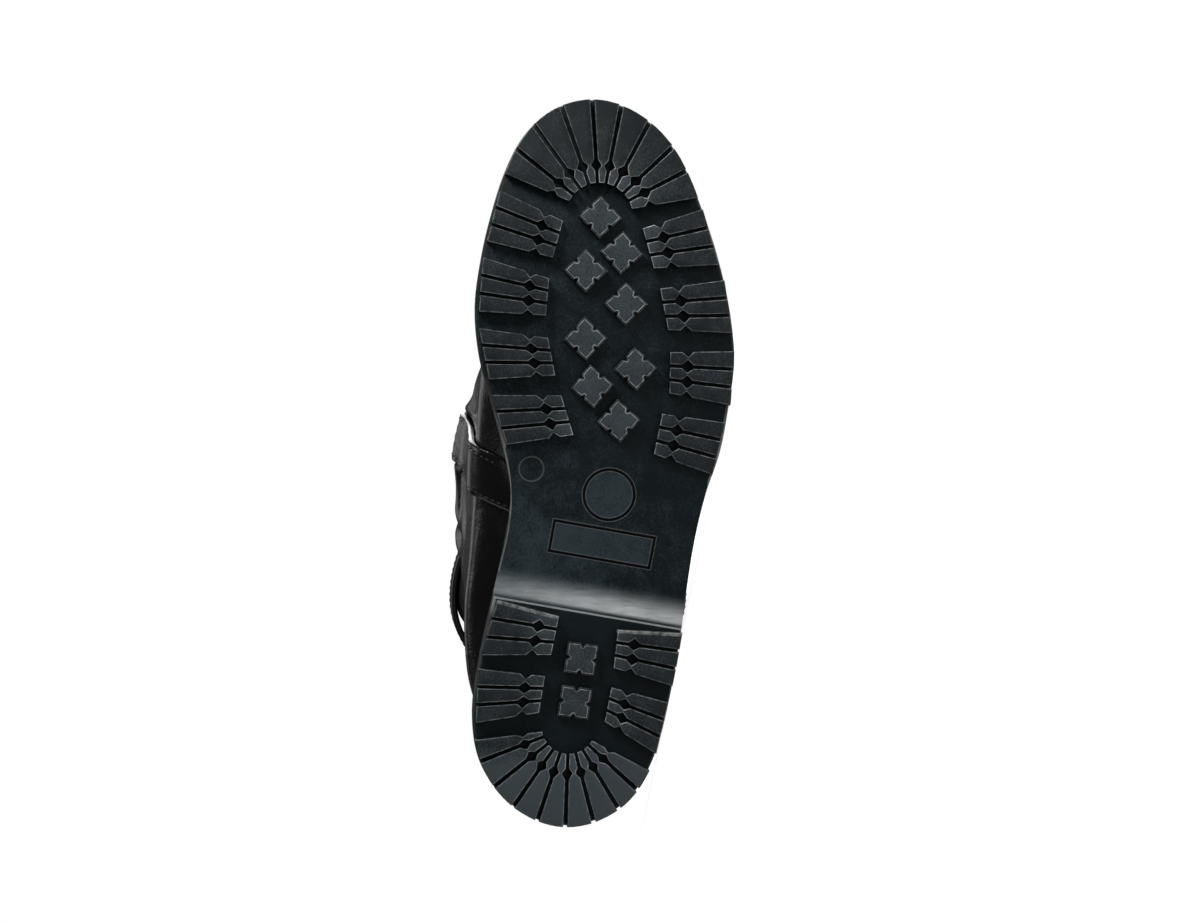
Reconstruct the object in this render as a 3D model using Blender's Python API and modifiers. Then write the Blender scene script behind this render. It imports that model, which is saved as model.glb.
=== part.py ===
"""Motorcycle boot for the left foot, EU 42, with a lugged one-piece rubber sole and two buckled straps.

The boot is drawn standing: x from the heel's back to the toe, y towards the outer side, z up from
the tread, in millimetres. At the end it is laid on its outer side, as it rests on a floor.
"""
import math

import bmesh
import bpy
import numpy as np
from mathutils import Matrix, Vector

MM = 0.001

# Driving sizes, in millimetres
SOLE_LENGTH = 302.0
LUG_DEPTH = 5.2
HEEL_SEAT = 31.0
BALL_SEAT = 12.0
TOE_SPRING = 13.0
SPRING_FROM = 212.0
SEAT_SLOPE = (75.0, 190.0)
MIDSOLE_THICK = 3.0
INSOLE_THICK = 3.0
WALL = 2.2
GAP = 0.3
FEATHER_INSET = 5.0
FEATHER_LIFT = 0.5
INSOLE_INSET = 8.8
MIDSOLE_INSET = 0.2
STRAP_THICK = 3.0
STRAP_WIDTH = 21.0
TOP_STRAP_WIDTH = 24.0
KEEPER_THICK = 1.8
KEEPER_WIDTH = 8.0
KEEPER_SIDE = 1.2
WIRE = 1.5
AROUND = 52
SOLE_AROUND = 72
ROWS = 19

# Plane down the middle of the instep strap: x = start + across * y + up * z
INSTEP_START = 122.5
INSTEP_ACROSS = -0.2286
INSTEP_UP = 0.3855
INSTEP_BUCKLE_Z = 52.0
INSTEP_BUCKLE_Y = 50.0
INSTEP_KEEPER_Y = 44.0
INSTEP_KEEPER_BELOW = 15.5

# Where that strap ends just above the midsole: height at the middle line, tilt to the outer side
STRAP_FOOT_Z = 31.0
STRAP_FOOT_TILT = 0.045

# Top strap: height of its lower edge at the back, rise to the front, turns of buckle and keeper
TOP_STRAP_BACK = 22.0
TOP_STRAP_Z = 205.0
TOP_STRAP_RISE = 0.03
TOP_BUCKLE_TURN = math.radians(236)
TOP_KEEPER_TURN = math.radians(212)
SHAFT_MIDDLE = 86.0
SHAFT_REACH = 60.0

# Where that strap stands off the shaft at the inner rear: how far, place and spread
STANDOFF = 2.6
STANDOFF_AT = (70.0, -46.0)
STANDOFF_SPREAD = 26.0

# Buckle frames: width across the strap, length along it, how far each sinks towards its strap
INSTEP_BUCKLE = (27.0, 20.0, 0.25)
TOP_BUCKLE = (30.0, 22.0, 0.4)
TOP_BUCKLE_ALONG = (-0.6, 1.0, 0.0)
BUCKLE_CORNER = 4.0
PRONG_RADIUS = 1.2
PRONG_RISE = 0.4

# The floor that the boot lies on, in the standing frame: y = constant + rise along x + rise up z
FLOOR_RISE_ALONG = 0.2065
FLOOR_RISE_UP = 0.0932

# Edge of the sole: distance from the heel's back, inner edge, outer edge
SOLE_EDGE = (
    (9, -33.6, 13.5),
    (26, -46.1, 25.2),
    (45, -49.4, 31.0),
    (70, -46.3, 35.9),
    (95, -40.8, 39.7),
    (118, -35.9, 43.0),
    (137, -33.4, 47.5),
    (154, -36.2, 53.1),
    (174, -41.4, 56.9),
    (193, -46.4, 59.2),
    (213, -48.4, 57.3),
    (238, -45.2, 51.7),
    (258, -40.2, 45.2),
    (275, -34.2, 38.2),
    (288, -26.6, 29.4),
    (297, -16.7, 18.0),
)

# Rings of the upper, from the side wall to the collar.
# back x, back z, front x, front z, then z at the waist and ball
RING_PROFILE = (
    ("wall", 4.0, 46, 298.5, 40, 38, 27),
    ("side", 4.0, 58, 294.0, 53, 51, 39),
    ("toe top", 6.0, 68, 282.0, 63, 63, 51),
    ("vamp", 8.5, 77, 261.0, 68.5, 73, 61),
    ("low instep", 11.0, 86, 231.0, 73, 82, 71),
    ("instep", 14.0, 96, 200.0, 81, 92, 82),
    ("high instep", 16.5, 107, 173.0, 95, 104, 96),
    ("ankle", 18.5, 121, 155.0, 116, 121, 117),
    ("shaft foot", 19.5, 144, 148.0, 146, 144, 145),
    ("shaft", 20.5, 180, 148.0, 183, 181, 182),
    ("strap line", 22.0, 215, 149.5, 220, 217, 218),
    ("collar", 23.0, 248, 150.5, 254, 250, 252),
)

# The same rings: fullness (half-width of the matching ellipse) and middle line,
# each at the heel, waist, ball and toe
RING_PLAN = (
    ("wall", 54, 44.0, 53.0, 62, -9.5, -2.7, 5.2, 1.5),
    ("side", 53, 46.0, 52.6, 60, -9.0, -3.4, 5.0, 1.5),
    ("toe top", 51, 47.3, 50.5, 55, -8.0, -3.8, 2.8, 1.5),
    ("vamp", 50, 49.0, 50.5, 52, -7.0, -4.4, -0.3, 1.5),
    ("low instep", 49, 49.0, 53.0, 50, -6.5, -4.2, -4.0, 0.0),
    ("instep", 48, 48.0, 52.5, 50, -5.5, -3.7, -4.6, -1.5),
    ("high instep", 46.5, 46.5, 51.0, 50, -4.5, -2.7, -3.2, -2.0),
    ("ankle", 44, 45.5, 47.5, 47, -3.0, -2.0, -2.0, -2.0),
    ("shaft foot", 43, 46.5, 47.5, 46, -1.5, -1.5, -1.5, -1.5),
    ("shaft", 43, 50.0, 51.0, 47, -0.5, -0.5, -0.5, -0.5),
    ("strap line", 45, 53.6, 53.8, 49, 0.5, 0.5, 0.5, 0.5),
    ("collar", 46, 54.0, 54.0, 50, 0.5, 0.5, 0.5, 0.5),
)
RING_KNOTS = (0.0, 0.14, 0.45, 0.66, 0.94, 1.0)

# Radial lugs at toe and heel: centre, inner and notch radius, turn of the two ends and the grooves
TOE_FAN = {
    "centre": (252.0, 3.0), "inner": 13.5, "notch": 21.2, "forward": 1,
    "turns": (-67, -50.8, -35.2, -18.3, -2.9, 11.6, 28.1, 46.5, 62.2, 80.5),
}
HEEL_FAN = {
    "centre": (41.9, -9.8), "inner": 10.8, "notch": 19.3, "forward": -1,
    "turns": (-83.5, -69.0, -51.6, -35.0, -18.6, -2.0, 14.6, 31.2, 47.2, 62.5),
}
FAN_GROOVE = 1.7
LUG_SUNK = 1.5

# Side groups of three ribs: edge front, edge rear, inner front, inner rear corner
RIB_GROUPS = (
    ("inner 1", (262.6, -38.5), (241.4, -43.9), (249.8, -11.9), (234.4, -16.1)),
    ("inner 2", (234.8, -45.6), (212.3, -47.3), (226.0, -17.7), (210.6, -19.0)),
    ("inner 3", (205.6, -47.3), (184.4, -43.1), (201.5, -18.1), (186.1, -15.2)),
    ("inner 4", (178.1, -42.3), (157.6, -36.0), (178.0, -12.7), (161.7, -7.7)),
    ("outer 1", (255.2, 46.4), (231.9, 53.0), (246.8, 20.6), (230.2, 25.1)),
    ("outer 2", (225.6, 55.1), (203.6, 58.4), (221.9, 27.6), (204.8, 30.9)),
    ("outer 3", (196.2, 59.2), (173.8, 57.6), (195.8, 31.8), (178.8, 31.4)),
    ("outer 4", (166.7, 55.5), (145.1, 50.1), (170.5, 28.5), (153.8, 25.1)),
    ("heel inner 1", (94.2, -39.5), (71.4, -46.8), (87.2, -13.6), (71.4, -16.9)),
    ("heel inner 2", (66.0, -47.7), (43.6, -48.5), (62.7, -19.4), (47.7, -21.9)),
    ("heel outer 1", (80.0, 37.6), (58.1, 33.9), (81.6, 10.2), (66.0, 8.5)),
    ("heel outer 2", (51.4, 31.8), (30.2, 26.8), (58.1, 7.6), (44.0, 4.8)),
)
RIB_GROOVE = 1.3
RIB_NOTCH_AT = 0.72
NOTCH_HALF = 2.4
NECK = 0.4
LUG_RIM = 1.2

# Notched square lugs down the middle: place and turn
CROSS_LUGS = (
    (251.6, 3.3, 48), (236.7, 12.1, 49), (229.3, -2.8, 46), (215.6, 13.7, 46),
    (201.3, -3.0, 43), (189.0, 17.7, 43), (181.7, -0.2, 40), (167.5, 10.8, 42),
    (69.8, -4.7, 8), (51.9, -7.3, 8),
)
CROSS_SIDE = 12.0
CROSS_NOTCH_HALF = 1.5
CROSS_NOTCH_DEPTH = 1.4

# Waist of the sole behind the ball, hollowed from below, with a coved heel breast
BREAST = (87.9, 0.0)
BREAST_TURN = math.radians(9.95)
COVE = 12.0
WAIST_RISE = 16.5
WAIST_END = 62.0

# Side wall of the outsole from the groove floor up: inset and share of the height
SIDE_STEPS = ((0.6, 0.0), (0.0, 0.28), (0.0, 0.72), (1.0, 0.78), (1.0, 1.0))


def through(knots, values, at):
    """Smooth curve through the values at their knots, read at one or many places."""
    knots = np.asarray(knots, float)
    values = np.asarray(values, float)
    at = np.clip(np.asarray(at, float), knots[0], knots[-1])
    slope = np.gradient(values, knots, axis=0)
    cell = np.clip(np.searchsorted(knots, at, side="right") - 1, 0, len(knots) - 2)
    width = knots[cell + 1] - knots[cell]
    s = (at - knots[cell]) / width
    for _ in range(values.ndim - 1):
        s = s[..., None]
        width = width[..., None]
    rise = values[cell] * (2 * s**3 - 3 * s**2 + 1) + values[cell + 1] * (3 * s**2 - 2 * s**3)
    bend = slope[cell] * (s**3 - 2 * s**2 + s) + slope[cell + 1] * (s**3 - s**2)
    return rise + bend * width


def smoothstep(low, high, x):
    s = np.clip((x - low) / (high - low), 0, 1)
    return s * s * (3 - 2 * s)


def tread(x):
    """Underside of the lugs: flat under heel and ball, rising to the toe."""
    return TOE_SPRING * (max(0.0, x - SPRING_FROM) / (SOLE_LENGTH - SPRING_FROM))**1.8


def base(x):
    """Bottom of the grooves."""
    return tread(x) + LUG_DEPTH


def seat(x):
    """Top of the outsole: heel seat, slope through the waist, flat ball, toe spring."""
    return HEEL_SEAT + (BALL_SEAT - HEEL_SEAT) * float(smoothstep(*SEAT_SLOPE, x)) + tread(x)


def turns(count):
    return np.arange(count) * 2 * math.pi / count


def sole_edge(theta):
    """Points of the sole's edge; theta 0 is the heel's back, 180 degrees the toe."""
    rows = np.array(SOLE_EDGE, float)
    along = rows[:, 0] / SOLE_LENGTH
    full = (rows[:, 2] - rows[:, 1]) / 2 / (2 * np.sqrt(along * (1 - along)))
    middle = (rows[:, 2] + rows[:, 1]) / 2
    t = (1 - np.cos(theta)) / 2
    y = through(along, middle, t) - through(along, full, t) * np.sin(theta)
    return np.stack([t * SOLE_LENGTH, y], axis=1)


def inset_edge(theta, inset):
    """The sole's edge moved inwards by inset, square to itself."""
    step = 0.002
    run = sole_edge(theta + step) - sole_edge(theta - step)
    run /= np.linalg.norm(run, axis=1)[:, None]
    inward = np.stack([-run[:, 1], run[:, 0]], axis=1)
    return sole_edge(theta) + inward * inset


def new_object(name, bm, collection, material=None):
    mesh = bpy.data.meshes.new(name)
    bm.to_mesh(mesh)
    bm.free()
    obj = bpy.data.objects.new(name, mesh)
    collection.objects.link(obj)
    if material:
        mesh.materials.append(material)
    return obj


def as_cutter(obj):
    obj.hide_render = True
    obj.display_type = "WIRE"
    return obj


def finish(name, colour, roughness, metallic=0.0):
    material = bpy.data.materials.new(name)
    material.use_nodes = True
    shader = material.node_tree.nodes["Principled BSDF"]
    shader.inputs["Base Color"].default_value = (*colour, 1)
    shader.inputs["Roughness"].default_value = roughness
    shader.inputs["Metallic"].default_value = metallic
    return material


def loft(rings, caps):
    """Walls between rings of the same count, with flat caps where the form is closed."""
    bm = bmesh.new()
    rows = [[bm.verts.new(point) for point in ring] for ring in rings]
    for low, high in zip(rows, rows[1:]):
        for i in range(len(low)):
            j = (i + 1) % len(low)
            bm.faces.new((low[i], low[j], high[j], high[i]))
    if caps:
        bm.faces.new(rows[0][::-1])
        bm.faces.new(rows[-1])
        bmesh.ops.recalc_face_normals(bm, faces=bm.faces)
    return bm


def bend_slab(bm, stations, height):
    """Cuts a flat slab across at the stations, then gives each layer its height."""
    for x in stations:
        bmesh.ops.bisect_plane(bm, geom=bm.verts[:] + bm.edges[:] + bm.faces[:],
                               plane_co=(x, 0, 0), plane_no=(1, 0, 0))
    bmesh.ops.triangulate(bm, faces=bm.faces)
    for v in bm.verts:
        v.co = Vector((v.co.x, v.co.y, height(v.co.x, v.co.z))) * MM


def slab_stations():
    slope = np.linspace(*SEAT_SLOPE, 12)
    spring = np.linspace(SPRING_FROM, SOLE_LENGTH - 8, 8)
    return [float(x) for x in (*slope, *spring)]


def layer(name, inset, low, thick, collection, material):
    """A sheet that follows the seat of the sole."""
    theta = turns(SOLE_AROUND)
    ring = inset_edge(theta, inset)
    bm = loft([[(x, y, z) for x, y in ring] for z in (0, 1)], caps=True)
    bend_slab(bm, slab_stations(), lambda x, z: seat(x) + low + z * thick)
    return new_object(name, bm, collection, material)


def flat_shapes(name, outlines, low, high, collection):
    """Prisms from flat outlines, as one object, between two heights that follow x."""
    curve = bpy.data.curves.new(name, "CURVE")
    curve.dimensions = "2D"
    curve.fill_mode = "BOTH"
    curve.extrude = 0.5
    for outline in outlines:
        spline = curve.splines.new("POLY")
        spline.points.add(len(outline) - 1)
        spline.use_cyclic_u = True
        for point, (x, y) in zip(spline.points, outline):
            point.co = (x, y, 0, 1)
    flat = bpy.data.objects.new(name + " outline", curve)
    collection.objects.link(flat)
    mesh = bpy.data.meshes.new_from_object(flat.evaluated_get(bpy.context.evaluated_depsgraph_get()))
    bpy.data.objects.remove(flat)
    bm = bmesh.new()
    bm.from_mesh(mesh)
    bmesh.ops.remove_doubles(bm, verts=bm.verts, dist=1e-4)
    bmesh.ops.recalc_face_normals(bm, faces=bm.faces)
    bmesh.ops.triangulate(bm, faces=bm.faces)
    for v in bm.verts:
        z = low(v.co.x) if v.co.z < 0 else high(v.co.x)
        v.co = Vector((v.co.x, v.co.y, z)) * MM
    return as_cutter(new_object(name, bm, collection))


def notched(outer_a, outer_b, inner_a, inner_b, at, notch_a=True, notch_b=True):
    """A rib from the edge to its inner end, nipped to a neck at a fraction of its length."""
    def side(outer, inner, other_outer, other_inner, cut):
        outer, inner = np.array(outer), np.array(inner)
        if not cut:
            return [outer, inner]
        length = np.linalg.norm(inner - outer)
        place = outer + (inner - outer) * at
        across = (np.array(other_outer) + (np.array(other_inner) - np.array(other_outer)) * at) - place
        reach = np.linalg.norm(across) / 2 - NECK
        run = (inner - outer) / length
        deep = place + across / np.linalg.norm(across) * min(reach, NOTCH_HALF)
        return [outer, place - run * NOTCH_HALF, deep, place + run * NOTCH_HALF, inner]
    one = side(outer_a, inner_a, outer_b, inner_b, notch_a)
    two = side(outer_b, inner_b, outer_a, inner_a, notch_b)
    return [tuple(p) for p in one + two[::-1]]


def edge_reach(centre, angle, forward):
    """How far the lug rim lies from a centre, along a turn measured from straight ahead."""
    rim = inset_edge(turns(720), LUG_RIM) - np.array(centre)
    bearing = np.arctan2(rim[:, 1], rim[:, 0] * forward)
    near = np.argmin(np.abs(bearing - angle))
    return float(np.linalg.norm(rim[near]))


def fan_ribs(fan):
    """Lugs that fan out round a centre, between straight grooves."""
    shapes = []
    angles = [math.radians(a) for a in fan["turns"]]
    last = len(angles) - 2
    for k, (left, right) in enumerate(zip(angles, angles[1:])):
        corners = []
        for angle, side in ((left, 1), (right, -1)):
            half = FAN_GROOVE / 2
            far = edge_reach(fan["centre"], angle + side * 0.03, fan["forward"])
            square = np.array((-math.sin(angle) * fan["forward"], math.cos(angle))) * half * side
            ray = np.array((math.cos(angle) * fan["forward"], math.sin(angle)))
            centre = np.array(fan["centre"])
            corners.append((centre + ray * far + square, centre + ray * fan["inner"] + square * 0.7))
        (outer_a, inner_a), (outer_b, inner_b) = corners
        at = 1 - (fan["notch"] - fan["inner"]) / np.linalg.norm(outer_a - inner_a)
        shapes.append(notched(outer_a, outer_b, inner_a, inner_b, at, k > 0, k < last))
    return shapes


def group_ribs(name, edge_front, edge_rear, inner_front, inner_rear):
    """Three ribs side by side from the edge inwards."""
    shapes = []
    corners = [np.array(p) for p in (edge_front, edge_rear, inner_front, inner_rear)]
    towards = (corners[2] + corners[3] - corners[0] - corners[1]) / 2
    towards /= np.linalg.norm(towards)
    corners[0] = corners[0] + towards * LUG_RIM
    corners[1] = corners[1] + towards * LUG_RIM
    edge_gap = RIB_GROOVE / np.linalg.norm(corners[1] - corners[0]) / 2
    inner_gap = RIB_GROOVE / np.linalg.norm(corners[3] - corners[2]) / 2
    for k in range(3):
        first, last = k / 3, (k + 1) / 3
        a0, a1 = first + edge_gap * (k > 0), last - edge_gap * (k < 2)
        b0, b1 = first + inner_gap * (k > 0), last - inner_gap * (k < 2)
        outer_a = corners[0] + (corners[1] - corners[0]) * a0
        outer_b = corners[0] + (corners[1] - corners[0]) * a1
        inner_a = corners[2] + (corners[3] - corners[2]) * b0
        inner_b = corners[2] + (corners[3] - corners[2]) * b1
        plain_front = name.startswith("heel") and name.endswith("1") and k == 0
        shapes.append(notched(outer_a, outer_b, inner_a, inner_b, RIB_NOTCH_AT, not plain_front))
    return shapes


def cross_lug(x, y, turn):
    """A square lug with a notch in the middle of each side."""
    half = CROSS_SIDE / 2
    quarter = [(half, -half), (half, -CROSS_NOTCH_HALF), (half - CROSS_NOTCH_DEPTH, 0),
               (half, CROSS_NOTCH_HALF)]
    shape = []
    for k in range(4):
        angle = math.radians(turn + 90 * k)
        for u, v in quarter:
            shape.append((x + u * math.cos(angle) - v * math.sin(angle),
                          y + u * math.sin(angle) + v * math.cos(angle)))
    return shape


def waist_cutter(collection):
    """The hollow under the waist: upright breast, cove, then a long slope down to the ball."""
    low = -2.0
    profile = [(0, low), (0, WAIST_RISE - COVE)]
    for k in range(1, 7):
        angle = math.radians(15 * k)
        profile.append((COVE * (1 - math.cos(angle)), WAIST_RISE - COVE * (1 - math.sin(angle))))
    slope = (WAIST_RISE - LUG_DEPTH) / (WAIST_END - COVE)
    past = 12.0
    profile.append((WAIST_END + past, LUG_DEPTH - slope * past))
    profile.append((WAIST_END + past, low))
    half = 80.0
    rings = [[(x, y, z) for x, z in profile] for y in (-half, half)]
    bm = loft(rings, caps=True)
    bmesh.ops.triangulate(bm, faces=bm.faces)
    place = Matrix.Translation((*BREAST, 0)) @ Matrix.Rotation(BREAST_TURN, 4, "Z")
    bmesh.ops.transform(bm, matrix=Matrix.Scale(MM, 4) @ place, verts=bm.verts)
    return as_cutter(new_object("waist hollow", bm, collection))


def make_outsole(parts, cutters, material):
    """Side wall with a step under the midsole, hollow waist, and every lug joined on."""
    theta = turns(SOLE_AROUND)
    rings = [[(x, y, up) for x, y in inset_edge(theta, inset)] for inset, up in SIDE_STEPS]
    bm = loft(rings, caps=True)
    bend_slab(bm, slab_stations(), lambda x, z: base(x) + z * (seat(x) - base(x)))
    sole = new_object("outsole", bm, parts, material)
    outlines = fan_ribs(TOE_FAN) + fan_ribs(HEEL_FAN)
    for group in RIB_GROUPS:
        outlines += group_ribs(*group)
    outlines += [cross_lug(*row) for row in CROSS_LUGS]
    lugs = flat_shapes("lugs", outlines, tread, lambda x: base(x) + LUG_SUNK, cutters)
    for name, operation, tool in (("hollow", "DIFFERENCE", waist_cutter(cutters)),
                                  ("lugs", "UNION", lugs)):
        step = sole.modifiers.new(name, "BOOLEAN")
        step.operation = operation
        step.object = tool
        step.solver = "EXACT"


def upper_rings():
    """The upper's outer face as rings of points, from the feather line up to the collar."""
    theta = turns(AROUND)
    t = (1 - np.cos(theta)) / 2
    feather = inset_edge(theta, FEATHER_INSET)
    rest = MIDSOLE_THICK + 2 * GAP + FEATHER_LIFT
    rings = [np.array([(x, y, seat(x) + rest) for x, y in feather])]
    for (_, back_x, back_z, front_x, front_z, waist_z, ball_z), plan in zip(RING_PROFILE, RING_PLAN):
        full, middle = plan[1:5], plan[5:9]
        spread = through(RING_KNOTS, (full[0], *full, full[3]), t)
        line = through(RING_KNOTS, (middle[0], *middle, middle[3]), t)
        z = through((0.0, 0.45, 0.66, 1.0), (back_z, waist_z, ball_z, front_z), t)
        x = back_x + (front_x - back_x) * t
        rings.append(np.stack([x, line - spread * np.sin(theta), z], axis=1))
    return np.array(rings)


def upper_face(rows):
    """The outer face as an open, triangulated mesh, with the given number of rows."""
    rings = upper_rings()
    knots = np.arange(len(rings))
    places = np.linspace(0, len(rings) - 1, rows)
    surface = through(knots, rings, places)
    bm = loft([[tuple(p) for p in ring] for ring in surface], caps=False)
    bmesh.ops.triangulate(bm, faces=bm.faces, quad_method="FIXED")
    bmesh.ops.scale(bm, vec=(MM, MM, MM), verts=bm.verts)
    bm.normal_update()
    return bm


def make_upper(parts, material):
    bm = upper_face(ROWS)
    upper = new_object("upper", bm, parts, material)
    wall = upper.modifiers.new("wall", "SOLIDIFY")
    wall.thickness = WALL * MM
    wall.offset = -1
    wall.use_even_offset = True


def cut_away(bm, point, outward):
    """Takes away what lies past a plane, given in millimetres."""
    bmesh.ops.bisect_plane(bm, geom=bm.verts[:] + bm.edges[:] + bm.faces[:],
                           plane_co=Vector(point) * MM, plane_no=Vector(outward),
                           clear_outer=True)


def lift(bm, height, bulge=None):
    """Moves an open piece off the face it was cut from."""
    bm.normal_update()
    rise = {}
    for v in bm.verts:
        extra = bulge(v.co / MM) if bulge else 0.0
        rise[v] = v.co + v.normal * (height + extra) * MM
    for v, place in rise.items():
        v.co = place


def band(name, cuts, height, thick, parts, material, bulge=None):
    """A strip of the upper's own face between cutting planes, lifted and thickened."""
    bm = upper_face(ROWS)
    for point, outward in cuts:
        cut_away(bm, point, outward)
    bmesh.ops.remove_doubles(bm, verts=bm.verts, dist=2e-5)
    lift(bm, height, bulge)
    obj = new_object(name, bm, parts, material)
    wall = obj.modifiers.new("leather", "SOLIDIFY")
    wall.thickness = thick * MM
    wall.offset = 1
    wall.use_even_offset = True


def instep_normal():
    return Vector((1, -INSTEP_ACROSS, -INSTEP_UP)).normalized()


def instep_point(y, z):
    return Vector((INSTEP_START + INSTEP_ACROSS * y + INSTEP_UP * z, y, z))


def keeper(name, place, across, along, outer, width, parts, leather):
    """The leather loop that holds a strap's end down, as it shows over the strap."""
    reach = across * (width / 2 + KEEPER_SIDE)
    run = along * KEEPER_WIDTH / 2
    cuts = ((place + reach, across), (place - reach, -across),
            (place + run, along), (place - run, -along), (Vector((70, 0, 0)), -outer))
    band(name, cuts, GAP + STRAP_THICK + GAP, KEEPER_THICK, parts, leather)


def make_instep_strap(parts, leather):
    normal = instep_normal()
    middle = instep_point(0, 60)
    half = normal * STRAP_WIDTH / 2
    foot = Vector((0, 0, STRAP_FOOT_Z))
    cuts = ((middle + half, normal), (middle - half, -normal), (foot, Vector((0, STRAP_FOOT_TILT, -1))))
    band("instep_strap", cuts, GAP, STRAP_THICK, parts, leather)
    place = instep_point(INSTEP_KEEPER_Y, INSTEP_BUCKLE_Z - INSTEP_KEEPER_BELOW)
    outer = Vector((0, 1, 0))
    down = outer.cross(normal).normalized()
    keeper("instep_keeper", place, normal, down, outer, STRAP_WIDTH, parts, leather)


def shaft_point(turn):
    """A place off the shaft at the height of the top strap."""
    out = Vector((-math.cos(turn), -math.sin(turn), 0)) * SHAFT_REACH
    rise = TOP_STRAP_WIDTH / 2 + TOP_STRAP_RISE * (SHAFT_MIDDLE + out.x - TOP_STRAP_BACK)
    return Vector((SHAFT_MIDDLE, 0, TOP_STRAP_Z + rise)) + out


def make_top_strap(parts, leather):
    up = Vector((-TOP_STRAP_RISE, 0, 1)).normalized()
    low = Vector((TOP_STRAP_BACK, 0, TOP_STRAP_Z))
    high = low + up * TOP_STRAP_WIDTH

    def standoff(point):
        away = math.hypot(point.x - STANDOFF_AT[0], point.y - STANDOFF_AT[1])
        return STANDOFF * math.exp(-(away / STANDOFF_SPREAD)**2)

    cuts = ((high, up), (low, -up))
    band("top_strap", cuts, GAP, STRAP_THICK, parts, leather, standoff)
    place = shaft_point(TOP_KEEPER_TURN)
    outer = (place - Vector((SHAFT_MIDDLE, 0, place.z))).normalized()
    keeper("top_keeper", place, up, up.cross(outer), outer, TOP_STRAP_WIDTH, parts, leather)


def frame_wire(name, width, length, collection):
    """A rectangular buckle frame of round wire, with its prong lying across it."""
    curve = bpy.data.curves.new(name, "CURVE")
    curve.dimensions = "3D"
    curve.bevel_depth = WIRE * MM
    curve.bevel_resolution = 2
    spline = curve.splines.new("POLY")
    points = []
    for k in range(4):
        cx = (width / 2 - BUCKLE_CORNER) * (1 if k in (0, 3) else -1)
        cy = (length / 2 - BUCKLE_CORNER) * (1 if k in (0, 1) else -1)
        for a in (0, 45, 90):
            angle = math.radians(90 * k + a)
            points.append((cx + BUCKLE_CORNER * math.cos(angle), cy + BUCKLE_CORNER * math.sin(angle), 0))
    spline.points.add(len(points) - 1)
    spline.use_cyclic_u = True
    for point, co in zip(spline.points, points):
        point.co = (*(c * MM for c in co), 1)
    frame = bpy.data.objects.new(name + " wire", curve)
    collection.objects.link(frame)
    mesh = bpy.data.meshes.new_from_object(frame.evaluated_get(bpy.context.evaluated_depsgraph_get()))
    bpy.data.objects.remove(frame)
    bm = bmesh.new()
    bm.from_mesh(mesh)
    bmesh.ops.remove_doubles(bm, verts=bm.verts, dist=1e-6)
    bmesh.ops.recalc_face_normals(bm, faces=bm.faces)
    return bm


def prong(length):
    """The pin across a buckle frame, from one end to the other."""
    bm = bmesh.new()
    bmesh.ops.create_cone(bm, cap_ends=True, segments=8, radius1=PRONG_RADIUS * MM,
                          radius2=PRONG_RADIUS * MM, depth=(length + WIRE) * MM)
    turn = Matrix.Rotation(math.radians(90), 4, "X")
    bmesh.ops.transform(bm, matrix=Matrix.Translation((0, 0, PRONG_RISE * MM)) @ turn, verts=bm.verts)
    return bm


def make_buckle(name, width, length, place, along, outward, parts, cutters, metal):
    """A buckle standing clear of its strap: along runs down the strap, outward off the boot."""
    frame = new_object(name, frame_wire(name, width, length, parts), parts, metal)
    tongue = as_cutter(new_object(name + " prong", prong(length), cutters))
    join = frame.modifiers.new("prong", "BOOLEAN")
    join.operation = "UNION"
    join.object = tongue
    join.solver = "EXACT"
    z = outward.normalized()
    y = (along - z * along.dot(z)).normalized()
    x = y.cross(z)
    turn = Matrix((x, y, z)).transposed().to_4x4()
    for obj in (frame, tongue):
        obj.matrix_world = Matrix.Translation(place * MM) @ turn


def on_face(face, target):
    """Nearest point of the upper's face and its outward direction, in millimetres."""
    hit = face.closest_point_on_mesh(target * MM)
    return hit[1] / MM, hit[2]


def clear_height(face_obj, place, along, outward, width, length):
    """How far out a frame's middle must stand to clear what lies under it."""
    z = outward.normalized()
    y = (along - z * along.dot(z)).normalized()
    x = y.cross(z)
    high = 0.0
    for u in (-width / 2, 0, width / 2):
        for v in (-length / 2, 0, length / 2):
            spot = place + x * u + y * v
            point = on_face(face_obj, spot)[0]
            high = max(high, (point - place).dot(z))
    return high


def make_buckles(parts, cutters, metal, face):
    down = Vector((0, 1, 0)).cross(instep_normal())
    for name, spot, along, sizes in (
            ("instep_buckle", instep_point(INSTEP_BUCKLE_Y, INSTEP_BUCKLE_Z), down, INSTEP_BUCKLE),
            ("top_buckle", shaft_point(TOP_BUCKLE_TURN), Vector(TOP_BUCKLE_ALONG), TOP_BUCKLE)):
        width, length, settle = sizes
        point, outward = on_face(face, spot)
        crown = clear_height(face, point, along, outward, width, length)
        rise = crown + STRAP_THICK + 2 * GAP + WIRE - settle
        make_buckle(name, width, length, point + outward * rise, along, outward,
                    parts, cutters, metal)


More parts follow.
